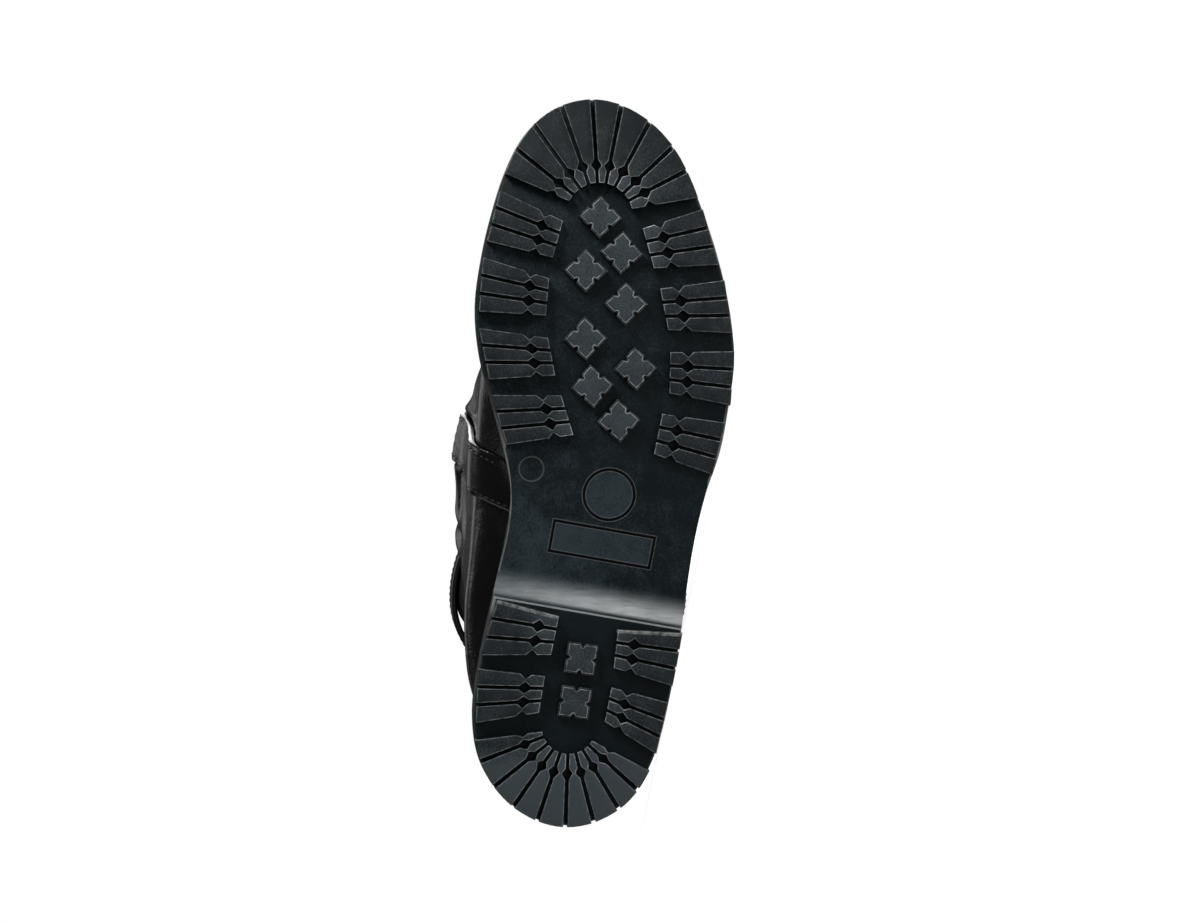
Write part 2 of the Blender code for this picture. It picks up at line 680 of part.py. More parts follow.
def lie_down(objects):
    """Turns the standing boot on to its outer side and centres it on the floor."""
    up = Vector((FLOOR_RISE_ALONG, -1, FLOOR_RISE_UP)).normalized()
    forward = (Vector((1, 0, 0)) - up * up.x).normalized()
    across = up.cross(forward)
    turn = Matrix((forward, across, up)).to_4x4()
    rest = bpy.data.objects.new("lying pose", None)
    bpy.context.scene.collection.objects.link(rest)
    for obj in objects:
        obj.parent = rest
    rest.matrix_world = turn
    bpy.context.view_layer.update()
    graph = bpy.context.evaluated_depsgraph_get()
    corners = []
    for obj in objects:
        if obj.hide_render:
            continue
        seen = obj.evaluated_get(graph)
        corners += [seen.matrix_world @ v.co for v in seen.data.vertices]
    low = Vector(min(c[k] for c in corners) for k in range(3))
    high = Vector(max(c[k] for c in corners) for k in range(3))
    middle = (low + high) / 2
    rest.matrix_world = Matrix.Translation((-middle.x, -middle.y, -low.z)) @ turn


def main():
    for obj in list(bpy.data.objects):
        bpy.data.objects.remove(obj)
    parts = bpy.data.collections.new("motorcycle boot")
    cutters = bpy.data.collections.new("cutters")
    for collection in (parts, cutters):
        bpy.context.scene.collection.children.link(collection)
    rubber = finish("black rubber", (0.022, 0.026, 0.028), 0.6)
    rim = finish("black rubber rim", (0.03, 0.034, 0.036), 0.55)
    leather = finish("black polished leather", (0.008, 0.008, 0.009), 0.25)
    board = finish("tan leather board", (0.32, 0.2, 0.11), 0.7)
    nickel = finish("nickel", (0.62, 0.61, 0.58), 0.25, 1.0)

    make_outsole(parts, cutters, rubber)
    layer("midsole", MIDSOLE_INSET, GAP, MIDSOLE_THICK, parts, rim)
    layer("insole", INSOLE_INSET, MIDSOLE_THICK + 2 * GAP, INSOLE_THICK, parts, board)
    make_upper(parts, leather)
    make_instep_strap(parts, leather)
    make_top_strap(parts, leather)
    face = new_object("upper face", upper_face(ROWS), cutters)
    make_buckles(parts, cutters, nickel, face)
    bpy.data.objects.remove(face)
    lie_down([*parts.objects, *cutters.objects])


main()
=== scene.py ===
"""Motorcycle boot for the left foot, lying on its outer side, seen square on to its sole."""
import math

import bmesh
import bpy
import numpy as np
from mathutils import Matrix, Vector, noise
from mathutils.bvhtree import BVHTree


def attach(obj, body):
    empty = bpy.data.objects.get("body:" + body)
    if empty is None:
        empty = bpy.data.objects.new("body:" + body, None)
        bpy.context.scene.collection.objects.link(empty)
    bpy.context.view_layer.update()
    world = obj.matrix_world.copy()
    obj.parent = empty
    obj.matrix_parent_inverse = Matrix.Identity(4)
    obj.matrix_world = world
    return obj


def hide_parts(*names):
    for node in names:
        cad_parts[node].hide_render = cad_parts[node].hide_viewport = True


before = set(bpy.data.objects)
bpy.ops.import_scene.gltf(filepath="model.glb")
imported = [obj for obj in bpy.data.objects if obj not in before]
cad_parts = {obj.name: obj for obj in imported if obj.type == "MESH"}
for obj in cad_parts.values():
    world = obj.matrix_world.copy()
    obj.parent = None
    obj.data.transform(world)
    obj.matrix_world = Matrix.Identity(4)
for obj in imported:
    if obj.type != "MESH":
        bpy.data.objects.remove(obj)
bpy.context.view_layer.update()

# Outsole body
# One-piece moulded black rubber: side wall with a step, flat groove floor, hollow waist with a coved
# heel breast. The moulded ring and rectangle on the waist are left bare. It is cemented to the midsole.
MM = 0.001
SOLE_LENGTH = 302.0
LUG_DEPTH = 5.2
HEEL_SEAT = 31.0
BALL_SEAT = 12.0
TOE_SPRING = 13.0
SPRING_FROM = 212.0
SEAT_SLOPE = (75.0, 190.0)
# Stations from the heel to the toe: x, then y of the inner and of the outer edge
SOLE_EDGE = (
    (9, -33.6, 13.5), (26, -46.1, 25.2), (45, -49.4, 31.0), (70, -46.3, 35.9),
    (95, -40.8, 39.7), (118, -35.9, 43.0), (137, -33.4, 47.5), (154, -36.2, 53.1),
    (174, -41.4, 56.9), (193, -46.4, 59.2), (213, -48.4, 57.3), (238, -45.2, 51.7),
    (258, -40.2, 45.2), (275, -34.2, 38.2), (288, -26.6, 29.4), (297, -16.7, 18.0),
)
BREAST = (87.9, 0.0)
BREAST_TURN = math.radians(9.95)
COVE = 12.0
WAIST_RISE = 16.5
WAIST_END = 62.0
WAIST_SLOPE = (WAIST_RISE - LUG_DEPTH) / (WAIST_END - COVE)

# The boot is drawn standing, x from heel to toe, y to the outer side, z up, then laid on its side
FLOOR_UP = Vector((0.2065, -1.0, 0.0932)).normalized()
ALONG = (Vector((1, 0, 0)) - FLOOR_UP * FLOOR_UP.x).normalized()
STANDING_MIDDLE = Vector((139.473, 60.872, 120.596))
LYING_TURN = Matrix((ALONG, FLOOR_UP.cross(ALONG), FLOOR_UP))
LYING = Matrix.Scale(MM, 4) @ LYING_TURN.to_4x4() @ Matrix.Translation(-STANDING_MIDDLE)


class Value:
    """A shader socket that can stand in a sum: each operator adds its Math node."""

    def __init__(self, finish, socket):
        self.finish = finish
        self.socket = socket

    def sum(self, operation, *others):
        """The result of a Math node."""
        return self.finish.node("Math", {"operation": operation}, dict(enumerate(others)))

    def __add__(self, other):
        return self.sum("ADD", self, other)

    def __radd__(self, other):
        return self.sum("ADD", other, self)

    def __sub__(self, other):
        return self.sum("SUBTRACT", self, other)

    def __rsub__(self, other):
        return self.sum("SUBTRACT", other, self)

    def __mul__(self, other):
        return self.sum("MULTIPLY", self, other)

    def __rmul__(self, other):
        return self.sum("MULTIPLY", other, self)

    def __pow__(self, other):
        return self.sum("POWER", self, other)

    def __abs__(self):
        return self.sum("ABSOLUTE", self)

    def over(self, other):
        """The larger of the two."""
        return self.sum("MAXIMUM", self, other)

    def ease(self, low, high, start=0.0, end=1.0):
        """Runs smoothly from start to end as the value goes from low to high."""
        return self.finish.node("MapRange", {"interpolation_type": "SMOOTHSTEP"},
                                {0: self, 1: low, 2: high, 3: start, 4: end})

    def fade(self, low, high):
        """1 up to low, smoothly down to 0 at high."""
        return self.ease(low, high, 1.0, 0.0)


class Finish:
    """A named material with a Principled shader."""

    def __init__(self, name, **fixed):
        self.material = bpy.data.materials.new(name)
        self.material.use_nodes = True
        self.tree = self.material.node_tree
        self.shader = self.tree.nodes["Principled BSDF"]
        for socket, value in fixed.items():
            self.shader.inputs[socket.replace("_", " ")].default_value = value

    def node(self, kind, settings, sockets, out=0):
        """Adds a node: its settings first, then a value or a link for each socket."""
        made = self.tree.nodes.new("ShaderNode" + kind)
        for setting, value in settings.items():
            setattr(made, setting, value)
        for socket, value in sockets.items():
            self.feed(made.inputs[socket], value)
        return Value(self, made.outputs[out])

    def feed(self, socket, value):
        """Links a Value to a socket, or sets a constant on it."""
        if isinstance(value, Value):
            self.tree.links.new(value.socket, socket)
        else:
            socket.default_value = value

    def show(self, **sockets):
        """Links what changes over the surface to the shader."""
        for socket, value in sockets.items():
            self.feed(self.shader.inputs[socket.replace("_", " ")], value)

    def blend(self, mask, first, second):
        """A colour that runs from first to second with the mask."""
        return self.node("Mix", {"data_type": "RGBA"}, {0: mask, 6: first, 7: second}, 2)

    def standing(self):
        """Place on the standing boot, in millimetres."""
        place = self.node("TexCoord", {}, {}, "Object")
        return self.node("Mapping", {}, {
            "Vector": place, "Scale": (1 / MM,) * 3, "Location": STANDING_MIDDLE,
            "Rotation": LYING_TURN.inverted().to_euler()})

    def axes(self, place):
        """The three numbers of a place."""
        parts = self.node("SeparateXYZ", {}, {0: place})
        return [Value(self, output) for output in parts.socket.node.outputs]

    def stretched(self, place, factors):
        """A place with each of its numbers multiplied."""
        return self.node("VectorMath", {"operation": "MULTIPLY"}, {0: place, 1: factors})

    def marked(self, name):
        """The number that the mesh carries under a name."""
        return self.node("Attribute", {"attribute_name": name}, {}, "Fac")

    def grain(self, place, size, detail=2.0, rough=0.5):
        """Cloudy variation from 0 to 1, with a grain of the given size."""
        return self.node("TexNoise", {}, {"Vector": place, "Scale": 1 / size, "Detail": detail,
                                          "Roughness": rough})

    def relief(self, height, depth, under=None):
        """Bump from a height of 0 to 1 that stands for a depth in millimetres."""
        sockets = {"Height": height, "Distance": depth * MM, "Strength": 1.0}
        if under:
            sockets["Normal"] = under
        return self.node("Bump", {}, sockets)


def through(knots, values, at):
    """Smooth curve through the values at their knots, read at one or many places."""
    knots = np.asarray(knots, float)
    values = np.asarray(values, float)
    at = np.clip(np.asarray(at, float), knots[0], knots[-1])
    slope = np.gradient(values, knots, axis=0)
    cell = np.clip(np.searchsorted(knots, at, side="right") - 1, 0, len(knots) - 2)
    width = knots[cell + 1] - knots[cell]
    s = (at - knots[cell]) / width
    for _ in range(values.ndim - 1):
        s = s[..., None]
        width = width[..., None]
    rise = values[cell] * (2 * s**3 - 3 * s**2 + 1) + values[cell + 1] * (3 * s**2 - 2 * s**3)
    bend = slope[cell] * (s**3 - 2 * s**2 + s) + slope[cell + 1] * (s**3 - s**2)
    return rise + bend * width


def smoothstep(low, high, x):
    """0 up to low, smoothly up to 1 at high."""
    s = np.clip((np.asarray(x, float) - low) / (high - low), 0, 1)
    return s * s * (3 - 2 * s)


def turned(u, v, angle):
    """A pair of numbers turned in its plane."""
    return u * math.cos(angle) - v * math.sin(angle), u * math.sin(angle) + v * math.cos(angle)


def tread(x):
    """Underside of the lugs: flat under heel and ball, rising to the toe."""
    past = np.maximum(0.0, np.asarray(x, float) - SPRING_FROM)
    return TOE_SPRING * (past / (SOLE_LENGTH - SPRING_FROM))**1.8


def seat(x):
    """Top of the outsole: heel seat, slope through the waist, flat ball, toe spring."""
    return HEEL_SEAT + (BALL_SEAT - HEEL_SEAT) * smoothstep(*SEAT_SLOPE, x) + tread(x)


def sole_edge(theta):
    """Points of the sole's edge; theta 0 is the heel's back, 180 degrees the toe."""
    rows = np.array(SOLE_EDGE, float)
    along = rows[:, 0] / SOLE_LENGTH
    full = (rows[:, 2] - rows[:, 1]) / 2 / (2 * np.sqrt(along * (1 - along)))
    middle = (rows[:, 2] + rows[:, 1]) / 2
    t = (1 - np.cos(theta)) / 2
    y = through(along, middle, t) - through(along, full, t) * np.sin(theta)
    return np.stack([t * SOLE_LENGTH, y], axis=-1)


def inset_edge(theta, inset):
    """The sole's edge moved inwards by inset, square to itself."""
    step = 0.002
    run = sole_edge(theta + step) - sole_edge(theta - step)
    run /= np.linalg.norm(run, axis=-1)[..., None]
    inward = np.stack([-run[..., 1], run[..., 0]], axis=-1)
    return sole_edge(theta) + inward * np.asarray(inset)[..., None]


def skin(around, rows, place):
    """A tube from a grid: its corners go where a function of turn and row puts them, seam merged."""
    bm = bmesh.new()
    bm.loops.layers.uv.new("around")
    bmesh.ops.create_grid(bm, x_segments=around, y_segments=rows, size=1, calc_uvs=True)
    flat = np.array([v.co[:2] for v in bm.verts]) / 2 + 0.5
    for v, point in zip(bm.verts, place(flat[:, 0], flat[:, 1])):
        v.co = point
    bmesh.ops.remove_doubles(bm, verts=bm.verts, dist=1e-4)
    return bm


def close(bm):
    """Fills a form's open ends and turns its faces outwards."""
    caps = bmesh.ops.holes_fill(bm, edges=[e for e in bm.edges if e.is_boundary])["faces"]
    bmesh.ops.recalc_face_normals(bm, faces=bm.faces)
    return caps


def as_mesh(name, bm):
    """The form as a mesh, its working copy freed."""
    mesh = bpy.data.meshes.new(name)
    bm.to_mesh(mesh)
    bm.free()
    return mesh


def in_scene(name, data):
    """A new object in the scene."""
    obj = bpy.data.objects.new(name, data)
    bpy.context.scene.collection.objects.link(obj)
    return obj


def piece(name, bm, finish, corner=40.0):
    """Lays a piece drawn on the standing boot down, and lets it ride with the boot."""
    bmesh.ops.transform(bm, matrix=LYING, verts=bm.verts)
    for face in bm.faces:
        face.smooth = True
    mesh = as_mesh(name, bm)
    mesh.set_sharp_from_angle(angle=math.radians(corner))
    mesh.materials.append(finish.material)
    obj = in_scene(name, mesh)
    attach(obj, "root")
    return obj


def on_waist(x, y):
    """Height of the hollowed waist, and how far in front of the heel's breast a place lies."""
    away = turned(x - BREAST[0], y - BREAST[1], -BREAST_TURN)[0]
    return WAIST_RISE - WAIST_SLOPE * (away - COVE), away


def edge_skin(steps, around):
    """A band round the sole's edge: each step gives its inset and its share of the height."""
    inset, up = np.array(steps).T

    def side(turn, row):
        at = np.round(row * (len(steps) - 1)).astype(int)
        edge = inset_edge(turn * 2 * math.pi, inset[at])
        return np.concatenate([edge, up[at][:, None]], axis=1)

    return skin(around, len(steps) - 1, side)


SLOPE_CUTS = 24


def stretch_up(bm, low, high, toe_cuts, toe_stop):
    """Cuts a form of height 1 across, and stretches it between two heights that follow x."""
    slope = np.linspace(*SEAT_SLOPE, SLOPE_CUTS)
    spring = np.linspace(SPRING_FROM, SOLE_LENGTH - toe_stop, toe_cuts)
    for station in (*slope, *spring):
        bmesh.ops.bisect_plane(bm, geom=bm.verts[:] + bm.edges[:] + bm.faces[:],
                               plane_co=(station, 0, 0), plane_no=(1, 0, 0))
    bmesh.ops.triangulate(bm, faces=bm.faces)
    for v in bm.verts:
        below = float(low(v.co.x))
        v.co.z = below + v.co.z * (float(high(v.co.x)) - below)


# Side wall from the groove floor up: inset and share of the height. Its lowest rows are worn, and at the
# waist they also carry a painted highlight.
WALL_STEPS = (
    (1.4, 0.0), (0.9, 0.02), (0.6, 0.06), (0.2, 0.2), (0.0, 0.32), (0.0, 0.5), (0.0, 0.68), (0.1, 0.71),
    (0.5, 0.74), (0.95, 0.77), (1.0, 0.82), (1.0, 0.93), (1.2, 0.98), (1.6, 1.0),
)
SIDE_COLUMNS = 288
RIM_ROWS = 3.4
body = edge_skin(WALL_STEPS, SIDE_COLUMNS)
body_uv = body.loops.layers.uv["around"]
rim_wear_and_highlight_layer = body.faces.layers.float.new("wear_and_highlight")
for face in body.faces:
    row = np.mean([loop[body_uv].uv[1] for loop in face.loops]) * (len(WALL_STEPS) - 1)
    face[rim_wear_and_highlight_layer] = float(row < RIM_ROWS)
for cap in close(body):
    cap[rim_wear_and_highlight_layer] = 0.0
stretch_up(body, lambda x: tread(x) + LUG_DEPTH, seat, 20, 6)

HOLLOW_UNDER = -2.0
HOLLOW_HALF = 80.0
PAST_BALL = 12.0
hollow = bmesh.new()
hollow_line = [(0, HOLLOW_UNDER), (0, WAIST_RISE - COVE)]
for k in range(1, 19):
    angle = math.radians(5 * k)
    hollow_line.append((COVE * (1 - math.cos(angle)), WAIST_RISE - COVE * (1 - math.sin(angle))))
hollow_line.append((WAIST_END + PAST_BALL, LUG_DEPTH - WAIST_SLOPE * PAST_BALL))
hollow_line.append((WAIST_END + PAST_BALL, HOLLOW_UNDER))
hollow_side = hollow.faces.new([hollow.verts.new((x, -HOLLOW_HALF, z)) for x, z in hollow_line])
grown = bmesh.ops.extrude_face_region(hollow, geom=[hollow_side])
bmesh.ops.translate(hollow, vec=(0, 2 * HOLLOW_HALF, 0),
                    verts=[g for g in grown["geom"] if isinstance(g, bmesh.types.BMVert)])
bmesh.ops.recalc_face_normals(hollow, faces=hollow.faces)
bmesh.ops.transform(hollow, verts=hollow.verts,
                    matrix=Matrix.Translation((*BREAST, 0)) @ Matrix.Rotation(BREAST_TURN, 4, "Z"))


def cut(bm, tool):
    """Takes the tool's form out of a closed form, and keeps the result as a plain mesh."""
    solids = [in_scene("cut", as_mesh("cut", form)) for form in (bm, tool)]
    step = solids[0].modifiers.new("cut", "BOOLEAN")
    step.operation = "DIFFERENCE"
    step.object = solids[1]
    step.solver = "EXACT"
    shown = solids[0].evaluated_get(bpy.context.evaluated_depsgraph_get())
    out = bmesh.new()
    out.from_mesh(shown.to_mesh())
    shown.to_mesh_clear()
    for solid in solids:
        mesh = solid.data
        bpy.data.objects.remove(solid)
        bpy.data.meshes.remove(mesh)
    return out


RING_AT = (137.0, 7.2)
RING_RADIUS = 10.4
SMALL_RING_AT = (147.7, -25.0)
SMALL_RING_RADIUS = 5.1
PLATE_AT = (116.4, 4.5)
PLATE_HALF = (6.4, 21.1)
PLATE_TURN = BREAST_TURN
RING_STEPS = 96
GROOVE_HALF = 0.5
GROOVE_DEPTH = 0.9
GROOVE_TOOL_LOW = 2.0


def groove_ring(line_at, count):
    """A ring to cut a moulded groove with: line_at gives its line, moved outwards by a distance."""
    def corner(turn, row):
        k = np.round(row * 4).astype(int) % 4
        step = np.round(turn * count).astype(int) % count
        flat = np.array([line_at(n, GROOVE_HALF * (1 if c in (1, 2) else -1)) for n, c in zip(step, k)])
        deep = on_waist(flat[:, 0], flat[:, 1])[0] + GROOVE_DEPTH
        return np.concatenate([flat, np.where(k >= 2, deep, GROOVE_TOOL_LOW)[:, None]], axis=1)

    bm = skin(count, 4, corner)
    bmesh.ops.recalc_face_normals(bm, faces=bm.faces)
    return bm


def circle_at(step, out):
    """A step round the ring's line, moved outwards."""
    angle = step * 2 * math.pi / RING_STEPS
    radius = RING_RADIUS + out
    return RING_AT[0] + radius * math.cos(angle), RING_AT[1] + radius * math.sin(angle)


def plate_at(step, out):
    """A corner of the plate's line, moved outwards."""
    u = (PLATE_HALF[0] + out) * (1, -1, -1, 1)[step]
    v = (PLATE_HALF[1] + out) * (1, 1, -1, -1)[step]
    along, across = turned(u, v, PLATE_TURN)
    return PLATE_AT[0] + along, PLATE_AT[1] + across


RUBBER_BLACK = (0.0012, 0.004, 0.0052, 1)
RUBBER_GREY = (0.0194, 0.029, 0.0335, 1)
GROOVE_SHADE_BLACK = (0.0003, 0.0003, 0.0004, 1)
LIP_GREY = (0.07, 0.075, 0.075, 1)
COVE_HIGHLIGHT_GREY = (0.34, 0.355, 0.36, 1)
EDGE_HIGHLIGHT_GREY = (0.2, 0.21, 0.21, 1)
body_rubber = Finish("moulded black rubber", Specular_IOR_Level=0.1)
place = body_rubber.standing()
x, y, z = body_rubber.axes(place)
clouds = body_rubber.grain(place, 9.0, 4.0, 0.6)
mottle = body_rubber.grain(place, 1.1, 5.0, 0.72)
pores = body_rubber.grain(place, 0.28, 3.0, 0.7)


def from_point(x, y, point):
    """Distance in the plane of the sole."""
    return ((x - point[0]) ** 2 + (y - point[1]) ** 2) ** 0.5


# Moulded lines of the waist: the ring and the plate are cut in, the small ring stands out a little
plate_u, plate_v = turned(x - PLATE_AT[0], y - PLATE_AT[1], -PLATE_TURN)
past_plate = (abs(plate_u) - PLATE_HALF[0]).over(abs(plate_v) - PLATE_HALF[1])
past_ring = from_point(x, y, RING_AT) - RING_RADIUS
under_waist = z.fade(17.0, 17.5) * x.ease(100.0, 102.0)
off_groove = body_rubber.node("Math", {"operation": "MINIMUM"}, {0: abs(past_ring), 1: abs(past_plate)})
# Painted shade: the cut grooves of the ring and the plate are painted near-black
groove_shade = off_groove.fade(0.48, 0.52) * under_waist
lip = abs(off_groove - 0.78).fade(0.1, 0.3) * under_waist
panels = (past_ring.fade(-0.5, -0.3) + past_plate.fade(-0.5, -0.3) * 0.75) * under_waist
raised = abs(from_point(x, y, SMALL_RING_AT) - SMALL_RING_RADIUS).fade(0.2, 0.5) * under_waist

# Painted highlight on the cove at the heel's breast, streaked across, and a painted sheen on the waist that
# fades away from it
hollow_z, away = on_waist(x, y)
hollow_only = z.ease(3.0, 6.0) * away.ease(-0.8, -0.3)
streaks = body_rubber.grain(body_rubber.stretched(place, (1.0, 0.16, 1.0)), 1.6, 3.0, 0.6)
cove_highlight = away.fade(2.6, 14.0) ** 1.5 * away.ease(0.5, 2.4) * y.ease(-44.0, 18.0, 0.38, 1.0)
cove_highlight = cove_highlight * hollow_only * (0.35 + streaks * 0.9) * y.ease(10.0, 40.0, 1.0, 0.8)
# Painted highlight along the edge of the heel's breast
breast_highlight = abs(away + 0.1).fade(0.15, 0.5) * z.fade(8.0, 9.0)
# Painted sheen on the waist, strongest on the inner side and near the cove
waist_sheen = away.ease(12.0, 60.0, 1.0, 0.3) * hollow_only * y.ease(-30.0, 30.0, 1.3, 0.35)
mottle_and_painted_light = (clouds - 0.5) * 2.4 + (mottle - 0.5) * 3.4 + 0.12 + waist_sheen + panels * 1.2
# Painted shade: the rubber is darker behind the heel's breast
mottle_and_painted_light = mottle_and_painted_light - x.ease(84.0, 90.0, 0.25, 0.0)
tone = body_rubber.blend(mottle_and_painted_light.ease(0.0, 2.0), RUBBER_BLACK, RUBBER_GREY)
# The cove's painted highlight
tone = body_rubber.blend(cove_highlight, tone, COVE_HIGHLIGHT_GREY)
rim_wear_and_highlight = body_rubber.marked("wear_and_highlight")
pale_lip = lip * mottle.ease(0.3, 0.6, 0.3, 0.8) + raised * 0.6 + rim_wear_and_highlight * clouds * 0.2
tone = body_rubber.blend(pale_lip, tone, LIP_GREY)
# A thin pale line on the rim's lowest rows at the waist: partly scuffs, partly painted highlight
waist_edge_scuff_and_highlight = rim_wear_and_highlight * x.ease(86.0, 92.0) * x.fade(150.0, 185.0) * clouds.ease(0.2, 0.6, 0.25, 0.55)

# The inner side's edge of the hollow, as a curve of y over x, gets a thin pale line: partly scuffs, partly a
# painted highlight where the edge would catch the light
CURVE_MIDDLE = 130.0
inner_side = inset_edge(np.linspace(0.0, 2 * math.pi, 720), 0.4)
inner_side = inner_side[(inner_side[:, 1] < -10) & (inner_side[:, 0] > 90) & (inner_side[:, 0] < 170)]
from_middle = x - CURVE_MIDDLE
edge_y = 0.0
for factor in np.polyfit(inner_side[:, 0] - CURVE_MIDDLE, inner_side[:, 1], 4):
    edge_y = edge_y * from_middle + factor
off_edge = abs(y - edge_y).over(abs(z - hollow_z) * 0.7)
inner_edge_scuff_and_highlight = off_edge.fade(0.15, 0.45) * hollow_only * clouds.ease(0.2, 0.6, 0.3, 0.6)
# Painted highlight lines, partly scuffed: the heel's breast edge and the edges of the waist
tone = body_rubber.blend(breast_highlight.over(waist_edge_scuff_and_highlight).over(inner_edge_scuff_and_highlight), tone, EDGE_HIGHLIGHT_GREY)
# Painted shade in the grooves of the ring and the plate
tone = body_rubber.blend(groove_shade, tone, GROOVE_SHADE_BLACK)
relief = body_rubber.relief(lip * 0.5 + raised, 0.3)
relief = body_rubber.relief(mottle * 0.7 + pores * 0.3, 0.12, relief)
body_rubber.show(Base_Color=tone, Roughness=0.52 + (mottle - 0.5) * 0.3, Normal=relief)

shaped = cut(body, hollow)
shaped = cut(shaped, groove_ring(circle_at, RING_STEPS))
shaped = cut(shaped, groove_ring(plate_at, 4))
sole_body = piece("outsole_body", shaped, body_rubber, 32)
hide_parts("outsole")

# Tread lugs
# Moulded on the outsole in the same rubber: bars that fan out at toe and heel, side groups of three
# notched bars, and notched square lugs down the middle. Their edges are scuffed pale, with a painted
# highlight where they face the light.
TOE_FAN = {
    "centre": (252.0, 3.0), "inner": 13.5, "notch": 21.2, "forward": 1,
    "turns": (-67, -50.8, -35.2, -18.3, -2.9, 11.6, 28.1, 46.5, 62.2, 80.5),
}
HEEL_FAN = {
    "centre": (41.9, -9.8), "inner": 10.8, "notch": 19.3, "forward": -1,
    "turns": (-83.5, -69.0, -51.6, -35.0, -18.6, -2.0, 14.6, 31.2, 47.2, 62.5),
}
FAN_GROOVE = 1.7
# Each group: edge front, edge rear, inner front, inner rear corner
RIB_GROUPS = (
    ("inner 1", (262.6, -38.5), (241.4, -43.9), (249.8, -11.9), (234.4, -16.1)),
    ("inner 2", (234.8, -45.6), (212.3, -47.3), (226.0, -17.7), (210.6, -19.0)),
    ("inner 3", (205.6, -47.3), (184.4, -43.1), (201.5, -18.1), (186.1, -15.2)),
    ("inner 4", (178.1, -42.3), (157.6, -36.0), (178.0, -12.7), (161.7, -7.7)),
    ("outer 1", (255.2, 46.4), (231.9, 53.0), (246.8, 20.6), (230.2, 25.1)),
    ("outer 2", (225.6, 55.1), (203.6, 58.4), (221.9, 27.6), (204.8, 30.9)),
    ("outer 3", (196.2, 59.2), (173.8, 57.6), (195.8, 31.8), (178.8, 31.4)),
    ("outer 4", (166.7, 55.5), (145.1, 50.1), (170.5, 28.5), (153.8, 25.1)),
    ("heel inner 1", (94.2, -39.5), (71.4, -46.8), (87.2, -13.6), (71.4, -16.9)),
    ("heel inner 2", (66.0, -47.7), (43.6, -48.5), (62.7, -19.4), (47.7, -21.9)),
    ("heel outer 1", (80.0, 37.6), (58.1, 33.9), (81.6, 10.2), (66.0, 8.5)),
    ("heel outer 2", (51.4, 31.8), (30.2, 26.8), (58.1, 7.6), (44.0, 4.8)),
)
RIB_GROOVE = 1.3
RIB_NOTCH_AT = 0.72
NOTCH_HALF = 2.4
NECK = 0.6
LUG_RIM = 0.35
CROSS_LUGS = (
    (251.6, 3.3, 48), (236.7, 12.1, 49), (229.3, -2.8, 46), (215.6, 13.7, 46),
    (201.3, -3.0, 43), (189.0, 17.7, 43), (181.7, -0.2, 40), (167.5, 10.8, 42),
    (69.8, -4.7, 8), (51.9, -7.3, 8),
)
CROSS_SIDE = 11.8
CROSS_LEDGE = 0.55
CROSS_LEDGE_DOWN = 0.8
# Half-width at the mouth of a cross lug's notch, its depth, and half-width at its floor
CROSS_NOTCH = (1.15, 1.25, 0.35)
LUG_ROUND = 0.36
LEDGE_ROUND = 0.14
LUG_DRAFT = 0.02
SUNK = 1.0
# Where the light comes from in the sole's plane, towards the toe and the inner side: bevels that face it get
# a painted highlight
LIGHT_SIDE = Vector((0.8, -0.6))
# How much of the wear and painted highlight is left on the bevels along the sole's edge, and on those of the
# ledges
EDGE_BAND = 0.9
EDGE_WEAR_AND_HIGHLIGHT = 0.15
LEDGE_WEAR_AND_HIGHLIGHT = 0.55
LEDGE_TIP = 0.1
LUG_DARK = (0.0041, 0.0062, 0.0075, 1)
LUG_GREY = (0.0305, 0.039, 0.043, 1)
SCUFF_AND_HIGHLIGHT_GREY = (0.34, 0.35, 0.35, 1)
FRONT_HIGHLIGHT_GREY = (0.2, 0.21, 0.2, 1)
lug_edge = inset_edge(np.arange(720) * math.pi / 360, LUG_RIM)


def notched(outer_a, outer_b, inner_a, inner_b, at, notch_a=True):
    """A bar from the edge to its inner end, nipped to a neck at a fraction of its length."""
    def side(outer, inner, other_outer, other_inner):
        place = outer + (inner - outer) * at
        across = other_outer + (other_inner - other_outer) * at - place
        width = np.linalg.norm(across)
        half = (inner - outer) / np.linalg.norm(inner - outer) * NOTCH_HALF
        deep = place + across / width * min(width / 2 - NECK, NOTCH_HALF)
        return [outer, place - half, deep, place + half, inner]

    first = side(outer_a, inner_a, outer_b, inner_b) if notch_a else [outer_a, inner_a]
    return first + side(outer_b, inner_b, outer_a, inner_a)[::-1]


def fan_bars(fan):
    """Bars that fan out round a centre, between straight grooves, out to the lug rim."""
    centre = np.array(fan["centre"])
    rim = lug_edge - centre
    bearing = np.arctan2(rim[:, 1], rim[:, 0] * fan["forward"])
    reach = np.linalg.norm(rim, axis=1)

    def ray(angle):
        return np.array((math.cos(angle) * fan["forward"], math.sin(angle)))

    def to_rim(angle):
        return reach[np.argmin(np.abs(bearing - angle))]

    angles = np.radians(fan["turns"])
    shapes = []
    for start, stop in zip(angles, angles[1:]):
        ends = []
        for angle, side in ((start, 1), (stop, -1)):
            square = ray(angle + math.pi / 2) * side * FAN_GROOVE / 2
            ends.append(centre + ray(angle) * to_rim(angle + side * 0.03) + square)
            ends.append(centre + ray(angle) * fan["inner"] + square * 0.7)
        outer_a, inner_a, outer_b, inner_b = ends
        at = 1 - (fan["notch"] - fan["inner"]) / np.linalg.norm(outer_a - inner_a)
        shape = notched(outer_a, outer_b, inner_a, inner_b, at)
        for angle in (start + (stop - start) * share for share in (0.75, 0.5, 0.25)):
            shape.append(centre + ray(angle) * to_rim(angle))
        shapes.append(shape)
    return shapes


